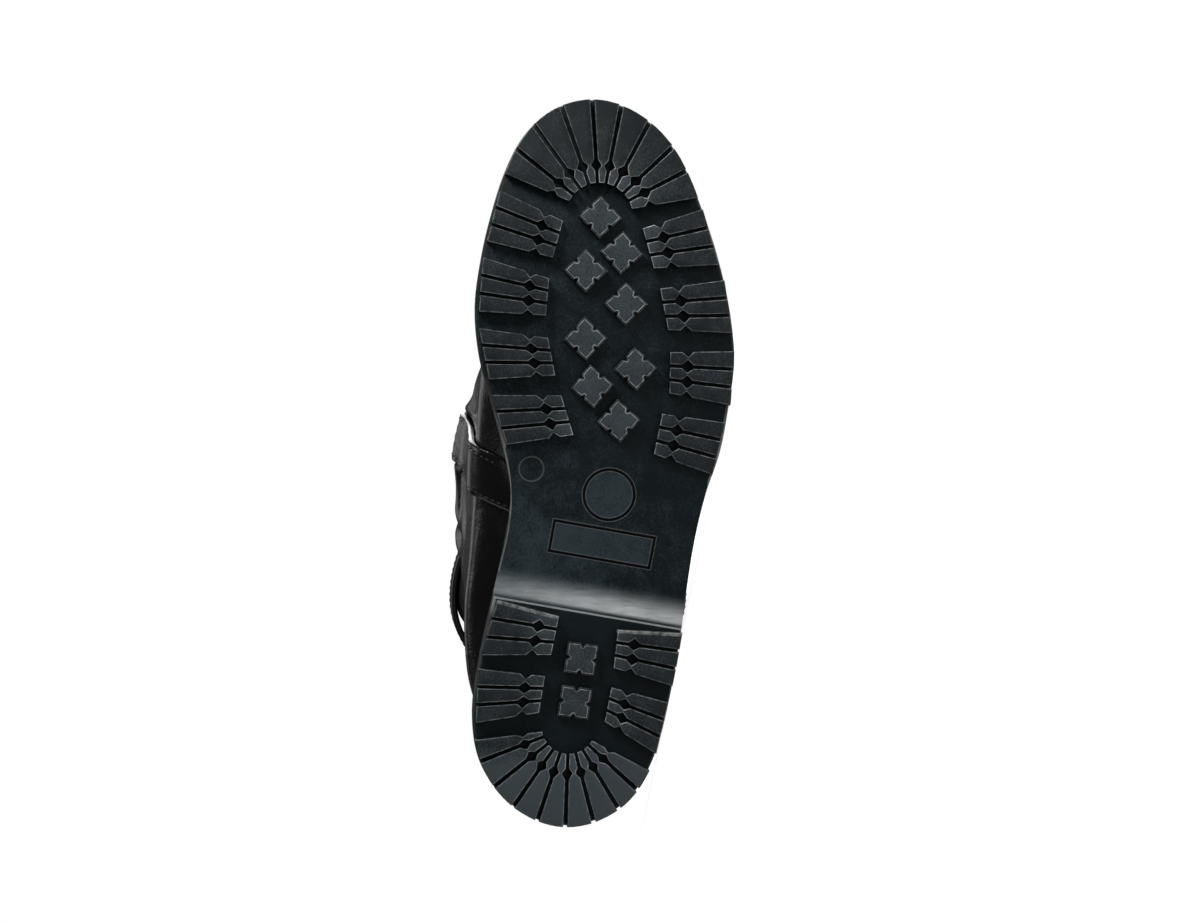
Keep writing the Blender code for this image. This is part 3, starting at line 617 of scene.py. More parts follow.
def group_bars(name, *corners):
    """Three bars side by side from the edge inwards."""
    front, rear, inner_front, inner_rear = (np.array(c) for c in corners)
    towards = inner_front + inner_rear - front - rear
    towards /= np.linalg.norm(towards)
    front = front + towards * LUG_RIM
    rear = rear + towards * LUG_RIM
    edge_gap = RIB_GROOVE / np.linalg.norm(rear - front) / 2
    inner_gap = RIB_GROOVE / np.linalg.norm(inner_rear - inner_front) / 2
    shapes = []
    for k in range(3):
        corners = []
        for first, last, gap in ((front, rear, edge_gap), (inner_front, inner_rear, inner_gap)):
            corners.append(first + (last - first) * (k / 3 + gap * (k > 0)))
            corners.append(first + (last - first) * ((k + 1) / 3 - gap * (k < 2)))
        plain_front = name.startswith("heel") and name.endswith("1") and k == 0
        shapes.append(notched(*corners, RIB_NOTCH_AT, not plain_front))
    return shapes


def cross_lug(x, y, turn, ledge=0.0):
    """A square lug with a notch in the middle of each side; ledge makes it larger all round."""
    half = CROSS_SIDE / 2 + ledge
    mouth, depth, floor_half = CROSS_NOTCH
    deep = half - depth
    corners = ((half, -half), (half, -mouth), (deep, -floor_half), (deep, floor_half), (half, mouth))
    shape = []
    for k in range(4):
        for u, v in corners:
            along, across = turned(u, v, math.radians(turn + 90 * k))
            shape.append((x + along, y + across))
    return shape


outlines = fan_bars(TOE_FAN) + fan_bars(HEEL_FAN)
for group in RIB_GROUPS:
    outlines += group_bars(*group)
outlines += [cross_lug(*row) for row in CROSS_LUGS]
# Each outline with how far its top lies under the tread
shapes = [(outline, 0.0) for outline in outlines]
shapes += [(cross_lug(*row, CROSS_LEDGE), CROSS_LEDGE_DOWN) for row in CROSS_LUGS]

lugs = bmesh.new()
wear_and_highlight = lugs.faces.layers.float.new("wear_and_highlight")
tip_mask = lugs.faces.layers.float.new("tip")
for outline, down in shapes:
    root = lugs.faces.new([lugs.verts.new((*corner, LUG_DEPTH + SUNK)) for corner in outline])
    grown = bmesh.ops.extrude_face_region(lugs, geom=[root], use_keep_orig=False)
    low = [g for g in grown["geom"] if isinstance(g, bmesh.types.BMVert)]
    tip = next(g for g in grown["geom"] if isinstance(g, bmesh.types.BMFace))
    middle = tip.calc_center_median()
    bmesh.ops.translate(lugs, vec=(0, 0, down - LUG_DEPTH - SUNK), verts=low)
    bmesh.ops.scale(lugs, vec=(1 - LUG_DRAFT, 1 - LUG_DRAFT, 1), verts=low, space=Matrix.Translation(-middle))
    tip.normal_update()
    bevelled = bmesh.ops.bevel(lugs, geom=list(tip.edges), offset=LEDGE_ROUND if down else LUG_ROUND,
                               offset_type="OFFSET", affect="EDGES", segments=2, profile=0.5, material=-1,
                               clamp_overlap=True)
    for face in bevelled["faces"]:
        face.normal_update()
        # Bevels are scuffed, and those that face the light get more: a painted highlight
        face[wear_and_highlight] = 0.45 + 0.55 * max(0.0, Vector(face.normal[:2]).dot(LIGHT_SIDE))
        off_edge = np.linalg.norm(lug_edge - np.array(face.calc_center_median())[:2], axis=1).min()
        if off_edge < EDGE_BAND:
            face[wear_and_highlight] *= EDGE_WEAR_AND_HIGHLIGHT
        elif down:
            face[wear_and_highlight] *= LEDGE_WEAR_AND_HIGHLIGHT
for face in lugs.faces:
    face.normal_update()
    on_ledge = face.calc_center_median().z > CROSS_LEDGE_DOWN / 2
    face[tip_mask] = float(abs(face.normal.z) > 0.9) * (LEDGE_TIP if on_ledge else 1.0)
for v in lugs.verts:
    v.co.z += float(tread(v.co.x))
bmesh.ops.recalc_face_normals(lugs, faces=lugs.faces)

lug_rubber = Finish("scuffed tread rubber", Specular_IOR_Level=0.12)
place = lug_rubber.standing()
mottle = lug_rubber.grain(place, 0.9, 5.0, 0.75)
clouds = lug_rubber.grain(place, 12.0, 3.0, 0.6)
pores = lug_rubber.grain(place, 0.25, 3.0, 0.7)
lug_wear_and_highlight = lug_rubber.marked("wear_and_highlight")
tip = lug_rubber.marked("tip")
x, y, z = lug_rubber.axes(place)
past_fans = (x - TOE_FAN["centre"][0]).over(HEEL_FAN["centre"][0] - x).over(0.0)
off_middle = ((y - x.ease(60.0, 180.0, -6.0, 7.0)) ** 2 + past_fans ** 2) ** 0.5
inner_ends = off_middle.fade(14.0, 27.0) * x.ease(74.0, 86.0, 0.6, 1.0)
mottle_and_painted_light = (mottle - 0.5) * 3.2 + (clouds - 0.5) * 1.4 + 0.36 + inner_ends * 0.8
# Painted highlight: lug tops at the heel's back are lighter; towards the toe the tops are a little darker
mottle_and_painted_light = mottle_and_painted_light + x.ease(20.0, 38.0, 1.3, 0.0) - x.ease(262.0, 284.0, 0.0, 0.18)
tone = lug_rubber.blend(tip, RUBBER_BLACK, lug_rubber.blend(mottle_and_painted_light.ease(0.0, 1.6), LUG_DARK, LUG_GREY))
patch = lug_rubber.grain(place, 3.0, 3.0, 0.6).ease(0.34, 0.62, 0.2, 1.0)
# Pale bevels: scuffs, more at the inner ends, with a painted highlight on the side that faces the light
tone = lug_rubber.blend(lug_wear_and_highlight * patch * (0.5 + inner_ends * 0.7), tone, SCUFF_AND_HIGHLIGHT_GREY)
# Painted highlight, broken up by scuffs, on the front edges of the heel's two foremost bars
inner_front = abs(x - 93.4 + (y + 39.5) * 0.2703).fade(0.35, 1.0) * y.fade(-6.0, -5.0)
outer_front = abs(x - 79.4 + (y - 37.6) * 0.0584).fade(0.35, 1.0) * y.ease(5.0, 6.0)
tone = lug_rubber.blend((inner_front + outer_front) * patch * 0.6, tone, FRONT_HIGHLIGHT_GREY)
relief = lug_rubber.relief(mottle * 0.6 + pores * 0.4, 0.14)
lug_rubber.show(Base_Color=tone, Roughness=0.55 + (mottle - 0.5) * 0.3, Normal=relief)
piece("tread_lugs", lugs, lug_rubber, 30)

# Midsole
# A thin rubber rim between outsole and upper, its edge moulded with two grooves all round; the
# upper's lasted edge is stuck down to its top, and the outsole to its underside.
MIDSOLE_THICK = 3.0
GAP = 0.3
# Inset and share of the thickness, from the underside round the edge to the top
RIM_STEPS = (
    (1.2, 0.0), (0.5, 0.04), (0.25, 0.14), (0.2, 0.26), (0.6, 0.33), (0.6, 0.38), (0.2, 0.45), (0.2, 0.58),
    (0.6, 0.65), (0.6, 0.7), (0.2, 0.77), (0.3, 0.9), (0.65, 0.98), (1.3, 1.0), (3.2, 1.0), (8.0, 1.0),
)


def slab(steps, around, low, thick):
    """A flat form inside the sole's edge, stepped at its side, at a height over the outsole's top."""
    bm = edge_skin(steps, around)
    close(bm)
    stretch_up(bm, lambda x: seat(x) + low, lambda x: seat(x) + low + thick, 18, 10)
    return bm


rim_rubber = Finish("grooved rim rubber", Specular_IOR_Level=0.2)
place = rim_rubber.standing()
mottle = rim_rubber.grain(place, 1.0, 4.0, 0.7)
tone = rim_rubber.blend(mottle.ease(0.3, 0.8), (0.003, 0.0036, 0.004, 1), (0.012, 0.0135, 0.014, 1))
rim_rubber.show(Base_Color=tone, Roughness=0.45 + mottle * 0.2, Normal=rim_rubber.relief(mottle, 0.1))
rim_form = slab(RIM_STEPS, SIDE_COLUMNS, GAP, MIDSOLE_THICK)
rim = piece("midsole_rim", rim_form, rim_rubber, 32)
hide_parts("midsole")

# Insole
# A board of tan leather cut inside the last's edge; it shows only down the shaft.
INSOLE_INSET = 8.8
INSOLE_THICK = 3.0
BOARD_COLUMNS = 180
INSOLE_STEPS = ((0.6, 0.0), (0.1, 0.15), (0.0, 0.5), (0.1, 0.85), (0.7, 1.0), (6.0, 1.0))
board = Finish("tan leather board", Specular_IOR_Level=0.3)
place = board.standing()
fleck = board.grain(place, 0.8, 4.0, 0.7)
stain = board.grain(place, 22.0, 3.0, 0.6)
tone = board.blend((fleck * 0.5 + stain * 0.5).ease(0.3, 0.7), (0.20, 0.115, 0.06, 1), (0.36, 0.23, 0.13, 1))
board.show(Base_Color=tone, Roughness=0.62 + fleck * 0.2, Normal=board.relief(fleck, 0.12))
board_steps = [(INSOLE_INSET + inset, up) for inset, up in INSOLE_STEPS]
board_form = slab(board_steps, BOARD_COLUMNS, MIDSOLE_THICK + 2 * GAP, INSOLE_THICK)
insole = piece("insole_board", board_form, board, 40)
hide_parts("insole")

# Upper
# Black polished cowhide drawn over the last: vamp, quarters and shaft are sewn with black thread,
# creased at ankle and ball, lined with a thin grey lining and turned over at the collar.
WALL = 2.2
FEATHER_INSET = 5.0
FEATHER_LIFT = 0.5
# Rings up the last: back x, back z, front x, front z, then z at the waist and ball
RING_PROFILE = (
    ("wall", 4.0, 46, 298.5, 40, 38, 27),
    ("side", 4.0, 58, 294.0, 53, 51, 39),
    ("toe top", 6.0, 68, 282.0, 63, 63, 51),
    ("vamp", 8.5, 77, 261.0, 68.5, 73, 61),
    ("low instep", 11.0, 86, 231.0, 73, 82, 71),
    ("instep", 14.0, 96, 200.0, 81, 92, 82),
    ("high instep", 16.5, 107, 173.0, 95, 104, 96),
    ("ankle", 18.5, 121, 155.0, 116, 121, 117),
    ("shaft foot", 19.5, 144, 148.0, 146, 144, 145),
    ("shaft", 20.5, 180, 148.0, 183, 181, 182),
    ("strap line", 22.0, 215, 149.5, 220, 217, 218),
    ("collar", 23.0, 248, 150.5, 254, 250, 252),
)
# Fullness and middle line of the same rings, each at the heel, waist, ball and toe
RING_PLAN = (
    ("wall", 54, 44.0, 53.0, 62, -9.5, -2.7, 5.2, 1.5),
    ("side", 53, 46.0, 52.6, 60, -9.0, -3.4, 5.0, 1.5),
    ("toe top", 51, 47.3, 50.5, 55, -8.0, -3.8, 2.8, 1.5),
    ("vamp", 50, 49.0, 50.5, 52, -7.0, -4.4, -0.3, 1.5),
    ("low instep", 49, 49.0, 53.0, 50, -6.5, -4.2, -4.0, 0.0),
    ("instep", 48, 48.0, 52.5, 50, -5.5, -3.7, -4.6, -1.5),
    ("high instep", 46.5, 46.5, 51.0, 50, -4.5, -2.7, -3.2, -2.0),
    ("ankle", 44, 45.5, 47.5, 47, -3.0, -2.0, -2.0, -2.0),
    ("shaft foot", 43, 46.5, 47.5, 46, -1.5, -1.5, -1.5, -1.5),
    ("shaft", 43, 50.0, 51.0, 47, -0.5, -0.5, -0.5, -0.5),
    ("strap line", 45, 53.6, 53.8, 49, 0.5, 0.5, 0.5, 0.5),
    ("collar", 46, 54.0, 54.0, 50, 0.5, 0.5, 0.5, 0.5),
)
RING_KNOTS = (0.0, 0.14, 0.45, 0.66, 0.94, 1.0)
UPPER_AROUND = 256
UPPER_ROWS = 176
INSTEP_START = 122.5
INSTEP_ACROSS = -0.2286
INSTEP_UP = 0.3855
STRAP_WIDTH = 21.0
TOP_STRAP_Z = 205.0
TOP_STRAP_RISE = 0.03
TOP_STRAP_BACK = 22.0
TOP_STRAP_WIDTH = 24.0


def upper_rings(theta):
    """The upper's outer face as rings of points, from the feather line up to the collar."""
    t = (1 - np.cos(theta)) / 2
    feather = inset_edge(theta, FEATHER_INSET)
    rest = MIDSOLE_THICK + 2 * GAP + FEATHER_LIFT
    rings = [np.concatenate([feather, (seat(feather[:, 0]) + rest)[:, None]], axis=1)]
    for (_, back_x, back_z, front_x, front_z, waist_z, ball_z), plan in zip(RING_PROFILE, RING_PLAN):
        full, middle = plan[1:5], plan[5:9]
        spread = through(RING_KNOTS, (full[0], *full, full[3]), t)
        line = through(RING_KNOTS, (middle[0], *middle, middle[3]), t)
        z = through((0.0, 0.45, 0.66, 1.0), (back_z, waist_z, ball_z, front_z), t)
        rings.append(np.stack([back_x + (front_x - back_x) * t, line - spread * np.sin(theta), z], axis=1))
    return np.array(rings)


upper_turns = np.arange(UPPER_AROUND) * 2 * math.pi / UPPER_AROUND
ring_points = upper_rings(upper_turns)
last_face = through(np.arange(len(ring_points)), ring_points,
                    np.linspace(0, len(ring_points) - 1, UPPER_ROWS + 1))


def outward_of(face):
    """Unit normals of a face of closed rings, pointing away from its middle."""
    along = np.roll(face, -1, axis=1) - np.roll(face, 1, axis=1)
    out = np.cross(along, np.gradient(face, axis=0))
    out /= np.linalg.norm(out, axis=2)[..., None]
    return out * np.sign(((face - face.mean(axis=(0, 1))) * out).sum())


last_outward = outward_of(last_face)

# Creases placed one by one: side (-1 inner, 1 outer, 0 both), line through (x, z) places, depth, half-width
CREASES = (
    (0, ((186, 92), (168, 100), (150, 104), (128, 101)), 2.6, 5.0),
    (0, ((170, 112), (152, 116), (132, 113), (108, 104)), 2.4, 5.5),
    (-1, ((160, 127), (140, 131), (118, 127), (96, 116)), 1.5, 5.0),
    (1, ((158, 130), (136, 128), (112, 118), (92, 104)), 1.8, 5.0),
    (-1, ((150, 146), (128, 150), (104, 146), (84, 138)), 1.1, 5.5),
    (1, ((150, 152), (124, 156), (98, 150)), 1.0, 5.0),
    (0, ((30, 100), (48, 104), (70, 100)), 1.3, 5.0),
    (-1, ((20, 126), (40, 131), (66, 128), (86, 120)), 1.2, 5.5),
    (1, ((20, 122), (42, 128), (64, 124)), 1.3, 5.5),
    (0, ((236, 70), (226, 64), (220, 54), (217, 44)), 1.5, 4.0),
    (0, ((223, 75), (212, 68), (207, 56), (206, 44)), 1.2, 3.8),
    (-1, ((211, 78), (199, 70), (194, 58)), 0.9, 3.4),
    (-1, ((184, 84), (180, 74), (178, 62)), 0.9, 3.0),
    (-1, ((174, 96), (169, 84), (167, 70)), 1.0, 3.0),
    (-1, ((132, 92), (122, 84), (112, 72)), 0.9, 3.4),
    (-1, ((122, 100), (108, 92), (98, 78)), 1.0, 3.6),
    (1, ((196, 80), (186, 70), (182, 56)), 0.9, 3.6),
    (1, ((120, 96), (106, 86), (98, 70)), 1.0, 3.8),
    (0, ((140, 172), (116, 178), (92, 174)), 0.7, 6.0),
    (0, ((30, 168), (52, 176), (76, 172)), 0.8, 6.5),
)

# Soft swellings beside the instep strap: side, place (x, z), reach along and up, height
SWELLS = (
    (-1, (134, 103), (16, 16), 2.4),
    (-1, (192, 93), (17, 18), 2.6),
    (-1, (112, 94), (15, 12), 1.2),
    (1, (140, 104), (15, 14), 1.2),
    (1, (180, 88), (14, 12), 0.8),
)
STRAP_BED = 1.6
STRAP_BED_REACH = 8.0


def off_instep_strap(face):
    """Distance along the boot from the instep strap's middle line."""
    x, y, z = np.moveaxis(face, -1, 0)
    off_plane = np.abs(x - INSTEP_START - INSTEP_ACROSS * y - INSTEP_UP * z)
    return off_plane / math.hypot(1, INSTEP_ACROSS, INSTEP_UP)


def on_side(y, side):
    """Keeps a form to the inner side (-1) or the outer side (1); 0 leaves it on both."""
    return smoothstep(-14, 14, y * side) if side else 1.0


def swelling(face):
    """How far the leather stands out beside the strap, which is drawn tight into it."""
    x, y, z = np.moveaxis(face, -1, 0)
    beside = np.maximum(off_instep_strap(face) - STRAP_WIDTH / 2, 0)
    total = STRAP_BED * np.exp(-(beside / STRAP_BED_REACH)**2) * smoothstep(38, 62, z)
    for side, (at_x, at_z), (long, high), height in SWELLS:
        form = np.exp(-((x - at_x) / long)**2 - ((z - at_z) / high)**2)
        total += height * form * on_side(y, side)
    return total


def crease_depth(face):
    """How far each place of the face sinks or swells for the creases."""
    x, y, z = np.moveaxis(face, -1, 0)
    total = np.zeros(x.shape)
    for side, line, depth, half in CREASES:
        line = np.array(line, float)
        near = np.full(x.shape, 1e9)
        share = np.zeros(x.shape)
        for k, (start, stop) in enumerate(zip(line, line[1:])):
            run = stop - start
            s = np.clip(((x - start[0]) * run[0] + (z - start[1]) * run[1]) / run.dot(run), 0, 1)
            away = np.hypot(x - start[0] - s * run[0], z - start[1] - s * run[1])
            closer = away < near
            near = np.where(closer, away, near)
            share = np.where(closer, (k + s) / (len(line) - 1), share)
        fade = np.sin(np.clip(share, 0.02, 0.98) * math.pi)**0.6
        form = np.exp(-(near / half)**2) - 0.55 * np.exp(-((near - 2.1 * half) / (1.1 * half))**2)
        total -= depth * fade * form * on_side(y, side)
    return total


def strap_rise(x):
    """Height of the top strap's lower edge, which rises a little to the front."""
    return TOP_STRAP_Z + TOP_STRAP_RISE * (x - TOP_STRAP_BACK)


def under_straps(face):
    """1 where a strap lies on the face, so that nothing swells through it."""
    x, y, z = np.moveaxis(face, -1, 0)
    instep = 1 - smoothstep(STRAP_WIDTH / 2 + 0.3, STRAP_WIDTH / 2 + 2.4, off_instep_strap(face))
    half = TOP_STRAP_WIDTH / 2
    top = 1 - smoothstep(half + 0.5, half + 6, np.abs(z - half - strap_rise(x)))
    return np.maximum(instep, top)


def drift(face, size, seed):
    """Slow unevenness of the skin, from -1 to 1."""
    flat = face.reshape(-1, 3) / size + seed
    return np.array([noise.noise(Vector(p)) for p in flat]).reshape(face.shape[:2])


STANDOFF = 2.6
STANDOFF_AT = (70.0, -46.0)
STANDOFF_SPREAD = 26.0


def standoff(places):
    """How far the top strap stands off the shaft at the inner rear."""
    away = np.hypot(places[..., 0] - STANDOFF_AT[0], places[..., 1] - STANDOFF_AT[1])
    return STANDOFF * np.exp(-(away / STANDOFF_SPREAD)**2)


# The shaft swells out to the top strap there, but for a short gap at the rear
GAP_ENDS = (67.0, 80.0)
strap_middle = TOP_STRAP_Z + TOP_STRAP_WIDTH / 2
round_strap = np.exp(-((last_face[..., 2] - strap_middle) / 22.0)**2)
shaft_swell = standoff(last_face) * smoothstep(*GAP_ENDS, last_face[..., 0]) * round_strap
free = 1 - under_straps(last_face)
near_sole = smoothstep(6, 20, last_face[..., 2] - seat(last_face[..., 0]))
swell = np.clip(crease_depth(last_face), -3.0, 1.0) + 0.35 * drift(last_face, 17.0, 3.1) + swelling(last_face)
worn_face = last_face + last_outward * (swell * free * near_sole + shaft_swell)[..., None]

# The outer face, a rolled collar, the lining in every fourth row, and back to the feather line
COLLAR_ROLL = 8
LINING_STEP = 4
roll = []
for angle in np.linspace(0, math.pi, COLLAR_ROLL + 1)[1:]:
    over = np.array((0, 0, WALL / 2 * math.sin(angle)))
    roll.append(worn_face[-1] + last_outward[-1] * (WALL / 2 * (math.cos(angle) - 1)) + over)
lining_face = (worn_face - outward_of(worn_face) * WALL)[::-LINING_STEP]
shell = np.concatenate([worn_face, roll, lining_face[1:], worn_face[:1]])


def ring_skin(rings):
    """A skin through closed rings of points."""
    rows, around = len(rings) - 1, rings.shape[1]

    def at(turn, row):
        return rings[np.round(row * rows).astype(int), np.round(turn * around).astype(int) % around]

    return skin(around, rows, at)


upper_form = ring_skin(shell)
bmesh.ops.recalc_face_normals(upper_form, faces=upper_form.faces)
lined = upper_form.faces.layers.float.new("lining")
flexed = upper_form.verts.layers.float.new("flexed")
uv = upper_form.loops.layers.uv["around"]
lined_from = (UPPER_ROWS + COLLAR_ROLL) / (len(shell) - 1)
for face in upper_form.faces:
    face[lined] = float(np.mean([loop[uv].uv[1] for loop in face.loops]) > lined_from)
flex = np.clip(np.abs(crease_depth(last_face)) / 1.6, 0, 1) * free
for v in upper_form.verts:
    turn, row = v.link_loops[0][uv].uv
    row = round(row * (len(shell) - 1))
    if row <= UPPER_ROWS:
        v[flexed] = flex[row, round(turn * UPPER_AROUND) % UPPER_AROUND]

LEATHER_BLACK = (0.0022, 0.0022, 0.0025, 1)
LEATHER_WORN = (0.006, 0.006, 0.0066, 1)
LINING_GREY = (0.075, 0.072, 0.068, 1)


def polished_leather(name, wrinkle):
    """Black polished leather: pores, fine wrinkles where it flexes, cloudy polish, light scuffs."""
    leather = Finish(name, Specular_IOR_Level=0.42)
    place = leather.standing()
    drawn = leather.node("VectorMath", {"operation": "MULTIPLY_ADD"}, {
        0: leather.node("TexNoise", {}, {"Vector": place, "Scale": 0.3, "Detail": 3.0}, "Color"),
        1: (2.4, 2.4, 2.4), 2: place})
    pores = leather.node("TexVoronoi", {"feature": "F1"}, {"Vector": drawn, "Scale": 1 / 0.62}, "Distance")
    net = leather.node("TexVoronoi", {"feature": "DISTANCE_TO_EDGE"}, {"Vector": drawn, "Scale": 1 / 1.7},
                       "Distance").ease(0.0, 0.16)
    clouds = leather.grain(place, 16.0, 3.0, 0.6)
    waves = leather.grain(place, 9.0, 2.0, 0.5)
    scuff = leather.grain(place, 1.6, 6.0, 0.8)
    relief = leather.relief(waves, 0.3)
    relief = leather.relief(pores, 0.014, relief)
    relief = leather.relief(net * wrinkle, 0.045, relief)
    tone = leather.blend((scuff * 0.5 + clouds * 0.5).ease(0.52, 0.75), LEATHER_BLACK, LEATHER_WORN)
    return leather, tone, relief, clouds, place


upper_leather, tone, relief, clouds, place = polished_leather("polished upper leather", 0.55)
x, y, z = upper_leather.axes(place)
folds = upper_leather.node("TexNoise", {"noise_type": "RIDGED_MULTIFRACTAL"}, {
    "Vector": upper_leather.stretched(place, (0.28, 0.28, 1.1)), "Scale": 0.34, "Detail": 3.0})
relief = upper_leather.relief(folds * upper_leather.marked("flexed"), 0.22, relief)
lining_mask = upper_leather.marked("lining")
back_seam = abs(y + 1.5).fade(0.3, 0.9) * x.fade(50.0, 60.0)
relief = upper_leather.relief(1.0 - back_seam, 0.5, relief)
weave = upper_leather.grain(place, 0.5, 3.0, 0.7)
lining_tone = upper_leather.blend(weave, LINING_GREY, (0.12, 0.115, 0.105, 1))
tone = upper_leather.blend(lining_mask, tone, lining_tone)
upper_leather.show(Base_Color=tone, Roughness=0.17 + clouds * 0.12 + lining_mask * 0.5, Normal=relief)
upper = piece("upper_shell", upper_form, upper_leather, 60)
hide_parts("upper")

# Thread
# Waxed black thread: a double row under the collar holds the lining, and a row each side of the
# closed back seam holds its tape. Each stitch is a short lens pressed a little into the leather.
thread = Finish("waxed black thread", Specular_IOR_Level=0.25)
place = thread.standing()
twist = thread.grain(place, 0.35, 2.0, 0.6)
thread.show(Base_Color=thread.blend(twist, (0.004, 0.004, 0.0045, 1), (0.016, 0.016, 0.017, 1)),
            Roughness=0.55 + twist * 0.2)
STITCH_PITCH = 3.1
STITCH_LENGTH = 2.4
STITCH_RADIUS = 0.38


def sew(bm, places, outward):
    """A row of stitches along a line of places, each sunk a little at its ends."""
    places = np.asarray(places)
    way = np.concatenate([[0], np.cumsum(np.linalg.norm(np.diff(places, axis=0), axis=1))])

    def read(line, s):
        """The line's value at a length along the places."""
        return Vector([np.interp(s, way, line[:, k]) for k in range(3)])

    for s in np.arange(STITCH_PITCH / 2, way[-1], STITCH_PITCH):
        along = (read(places, min(s + 1, way[-1])) - read(places, max(s - 1, 0))).normalized()
        out = read(outward, s)
        out = (out - along * out.dot(along)).normalized()
        turn = Matrix((along, out.cross(along), out)).transposed().to_4x4()
        size = Matrix.Diagonal((STITCH_LENGTH / 2, STITCH_RADIUS, STITCH_RADIUS, 1))
        bmesh.ops.create_uvsphere(bm, u_segments=6, v_segments=4, radius=1,
                                  matrix=Matrix.Translation(read(places, s)) @ turn @ size)


COLLAR_ROWS = (172, 169)
BACK_SEAM_COLUMNS = (2, UPPER_AROUND - 2)
BACK_SEAM_ROWS = slice(24, 165)
upper_thread = bmesh.new()
closed = np.append(np.arange(UPPER_AROUND), 0)
for row in COLLAR_ROWS:
    sew(upper_thread, worn_face[row, closed], last_outward[row, closed])
for column in BACK_SEAM_COLUMNS:
    sew(upper_thread, worn_face[BACK_SEAM_ROWS, column], last_outward[BACK_SEAM_ROWS, column])
piece("upper_thread", upper_thread, thread, 80)

# Instep strap
# A doubled strip of the same leather from the inner welt over the instep to the outer side, skived
# at its edges, edge-stitched, and held by a loop. It hides the seam between vamp and quarters.
STRAP_THICK = 3.0
STRAP_FOOT_Z = 27.0
STRAP_FOOT_TILT = 0.045
STRAP_SKIVED_ROWS = 16
KEEPER_THICK = 1.8
KEEPER_WIDTH = 8.0
KEEPER_SIDE = 1.2
STITCH_IN = 2.4
STITCH_SUNK = 0.22
INSTEP_BUCKLE_Z = 52.0
INSTEP_KEEPER_BELOW = 15.5
TRACK_COLUMNS = 11
TRACK_MIDDLE = TRACK_COLUMNS // 2

plain_face = ring_skin(last_face)
bmesh.ops.triangulate(plain_face, faces=plain_face.faces)
face_tree = BVHTree.FromBMesh(plain_face)
plain_face.free()


def face_hit(start, way):
    """Where a ray from inside the boot leaves the upper's smooth face; past its edge, a far place."""
    hit = face_tree.ray_cast(Vector(start), Vector(way))[0]
    return np.array(hit) if hit else start + way * 80.0


class Track:
    """The part of the face under a strap: rays from a middle line, turned in parallel planes."""

    def __init__(self, middle, normal, first, second, width, rows, ends):
        self.middle, self.normal = np.array(middle), np.array(normal)
        self.first, self.second = np.array(first), np.array(second)
        self.offsets = np.linspace(-width / 2, width / 2, TRACK_COLUMNS)
        grid = []
        for offset in self.offsets:
            start, stop = ends(self, offset)
            grid.append([self.spot(offset, turn) for turn in np.linspace(start, stop, rows)])
        self.spots = np.array(grid).transpose(1, 0, 2)
        out = np.cross(np.gradient(self.spots, axis=0), np.gradient(self.spots, axis=1))
        out /= np.linalg.norm(out, axis=2)[..., None]
        if (out * (self.spots - self.middle)).sum() < 0:
            out = -out
        for _ in range(3):
            out[1:-1] = (out[:-2] + 2 * out[1:-1] + out[2:]) / 4
        self.outward = out / np.linalg.norm(out, axis=2)[..., None]

    def spot(self, offset, turn):
        """Where the face lies in one of the planes, at a turn round the middle line."""
        way = self.first * math.cos(turn) + self.second * math.sin(turn)
        return face_hit(self.middle + self.normal * offset, way)

    def at(self, row, across, height):
        """Places on the track: row counted from its start, across its width, height off the face."""
        step = self.offsets[1] - self.offsets[0]
        cell = np.clip((across - self.offsets[0]) / step, 0, TRACK_COLUMNS - 1.001)
        k = cell.astype(int)
        s = (cell - k)[:, None]
        spot = self.spots[row, k] * (1 - s) + self.spots[row, k + 1] * s
        out = self.outward[row, k] * (1 - s) + self.outward[row, k + 1] * s
        past = across - np.clip(across, self.offsets[0], self.offsets[-1])
        return spot + out * np.asarray(height)[:, None] + self.normal * past[:, None]


def strip(track, profile, rows, lift=None, skived=0.0):
    """Sweeps a closed profile of (across, height) along the track and fills its ends."""
    across, height = np.array(profile).T

    def lay(turn, row):
        k = np.round(turn * len(profile)).astype(int) % len(profile)
        r = np.round(row * rows).astype(int)
        extra = lift(track.at(r, across[k] * 0, height[k] * 0)) if lift else 0.0
        left = 1 - skived * (1 - smoothstep(0, STRAP_SKIVED_ROWS, np.minimum(r, rows - r)))
        return track.at(r, across[k], GAP + (height[k] - GAP) * left + extra)

    bm = skin(len(profile), rows, lay)
    close(bm)
    return bm


STRAP_CROWN = 0.25
# Rounded edge of a strap: how far in, and share of the thickness
STRAP_EDGE = ((1.1, 0.0), (0.35, 0.1), (0.0, 0.32), (0.0, 0.62), (0.35, 0.88), (1.1, 0.97))


def strap_profile(width):
    """Section of a strap: flat underside, rounded edges, slightly crowned face."""
    half = width / 2
    right = [(half - inset, GAP + STRAP_THICK * up) for inset, up in STRAP_EDGE]
    face = [(half * s, GAP + STRAP_THICK - STRAP_CROWN * s * s) for s in (0.7, 0.35, 0.0, -0.35, -0.7)]
    left = [(-across, height) for across, height in right[::-1]]
    under = [(half * s, GAP) for s in (-0.5, 0.0, 0.5)]
    return right + face + left + under


def edge_stitches(name, track, rows, width, lift=None):
    """A row of stitches near each edge of a strap."""
    bm = bmesh.new()
    level = np.zeros(len(rows))
    height = level + GAP + STRAP_THICK - STITCH_SUNK
    if lift:
        height += lift(track.at(rows, level, level))
    for across in (STITCH_IN - width / 2, width / 2 - STITCH_IN):
        sew(bm, track.at(rows, level + across, height), track.outward[rows, TRACK_MIDDLE])
    piece(name, bm, thread, 80)


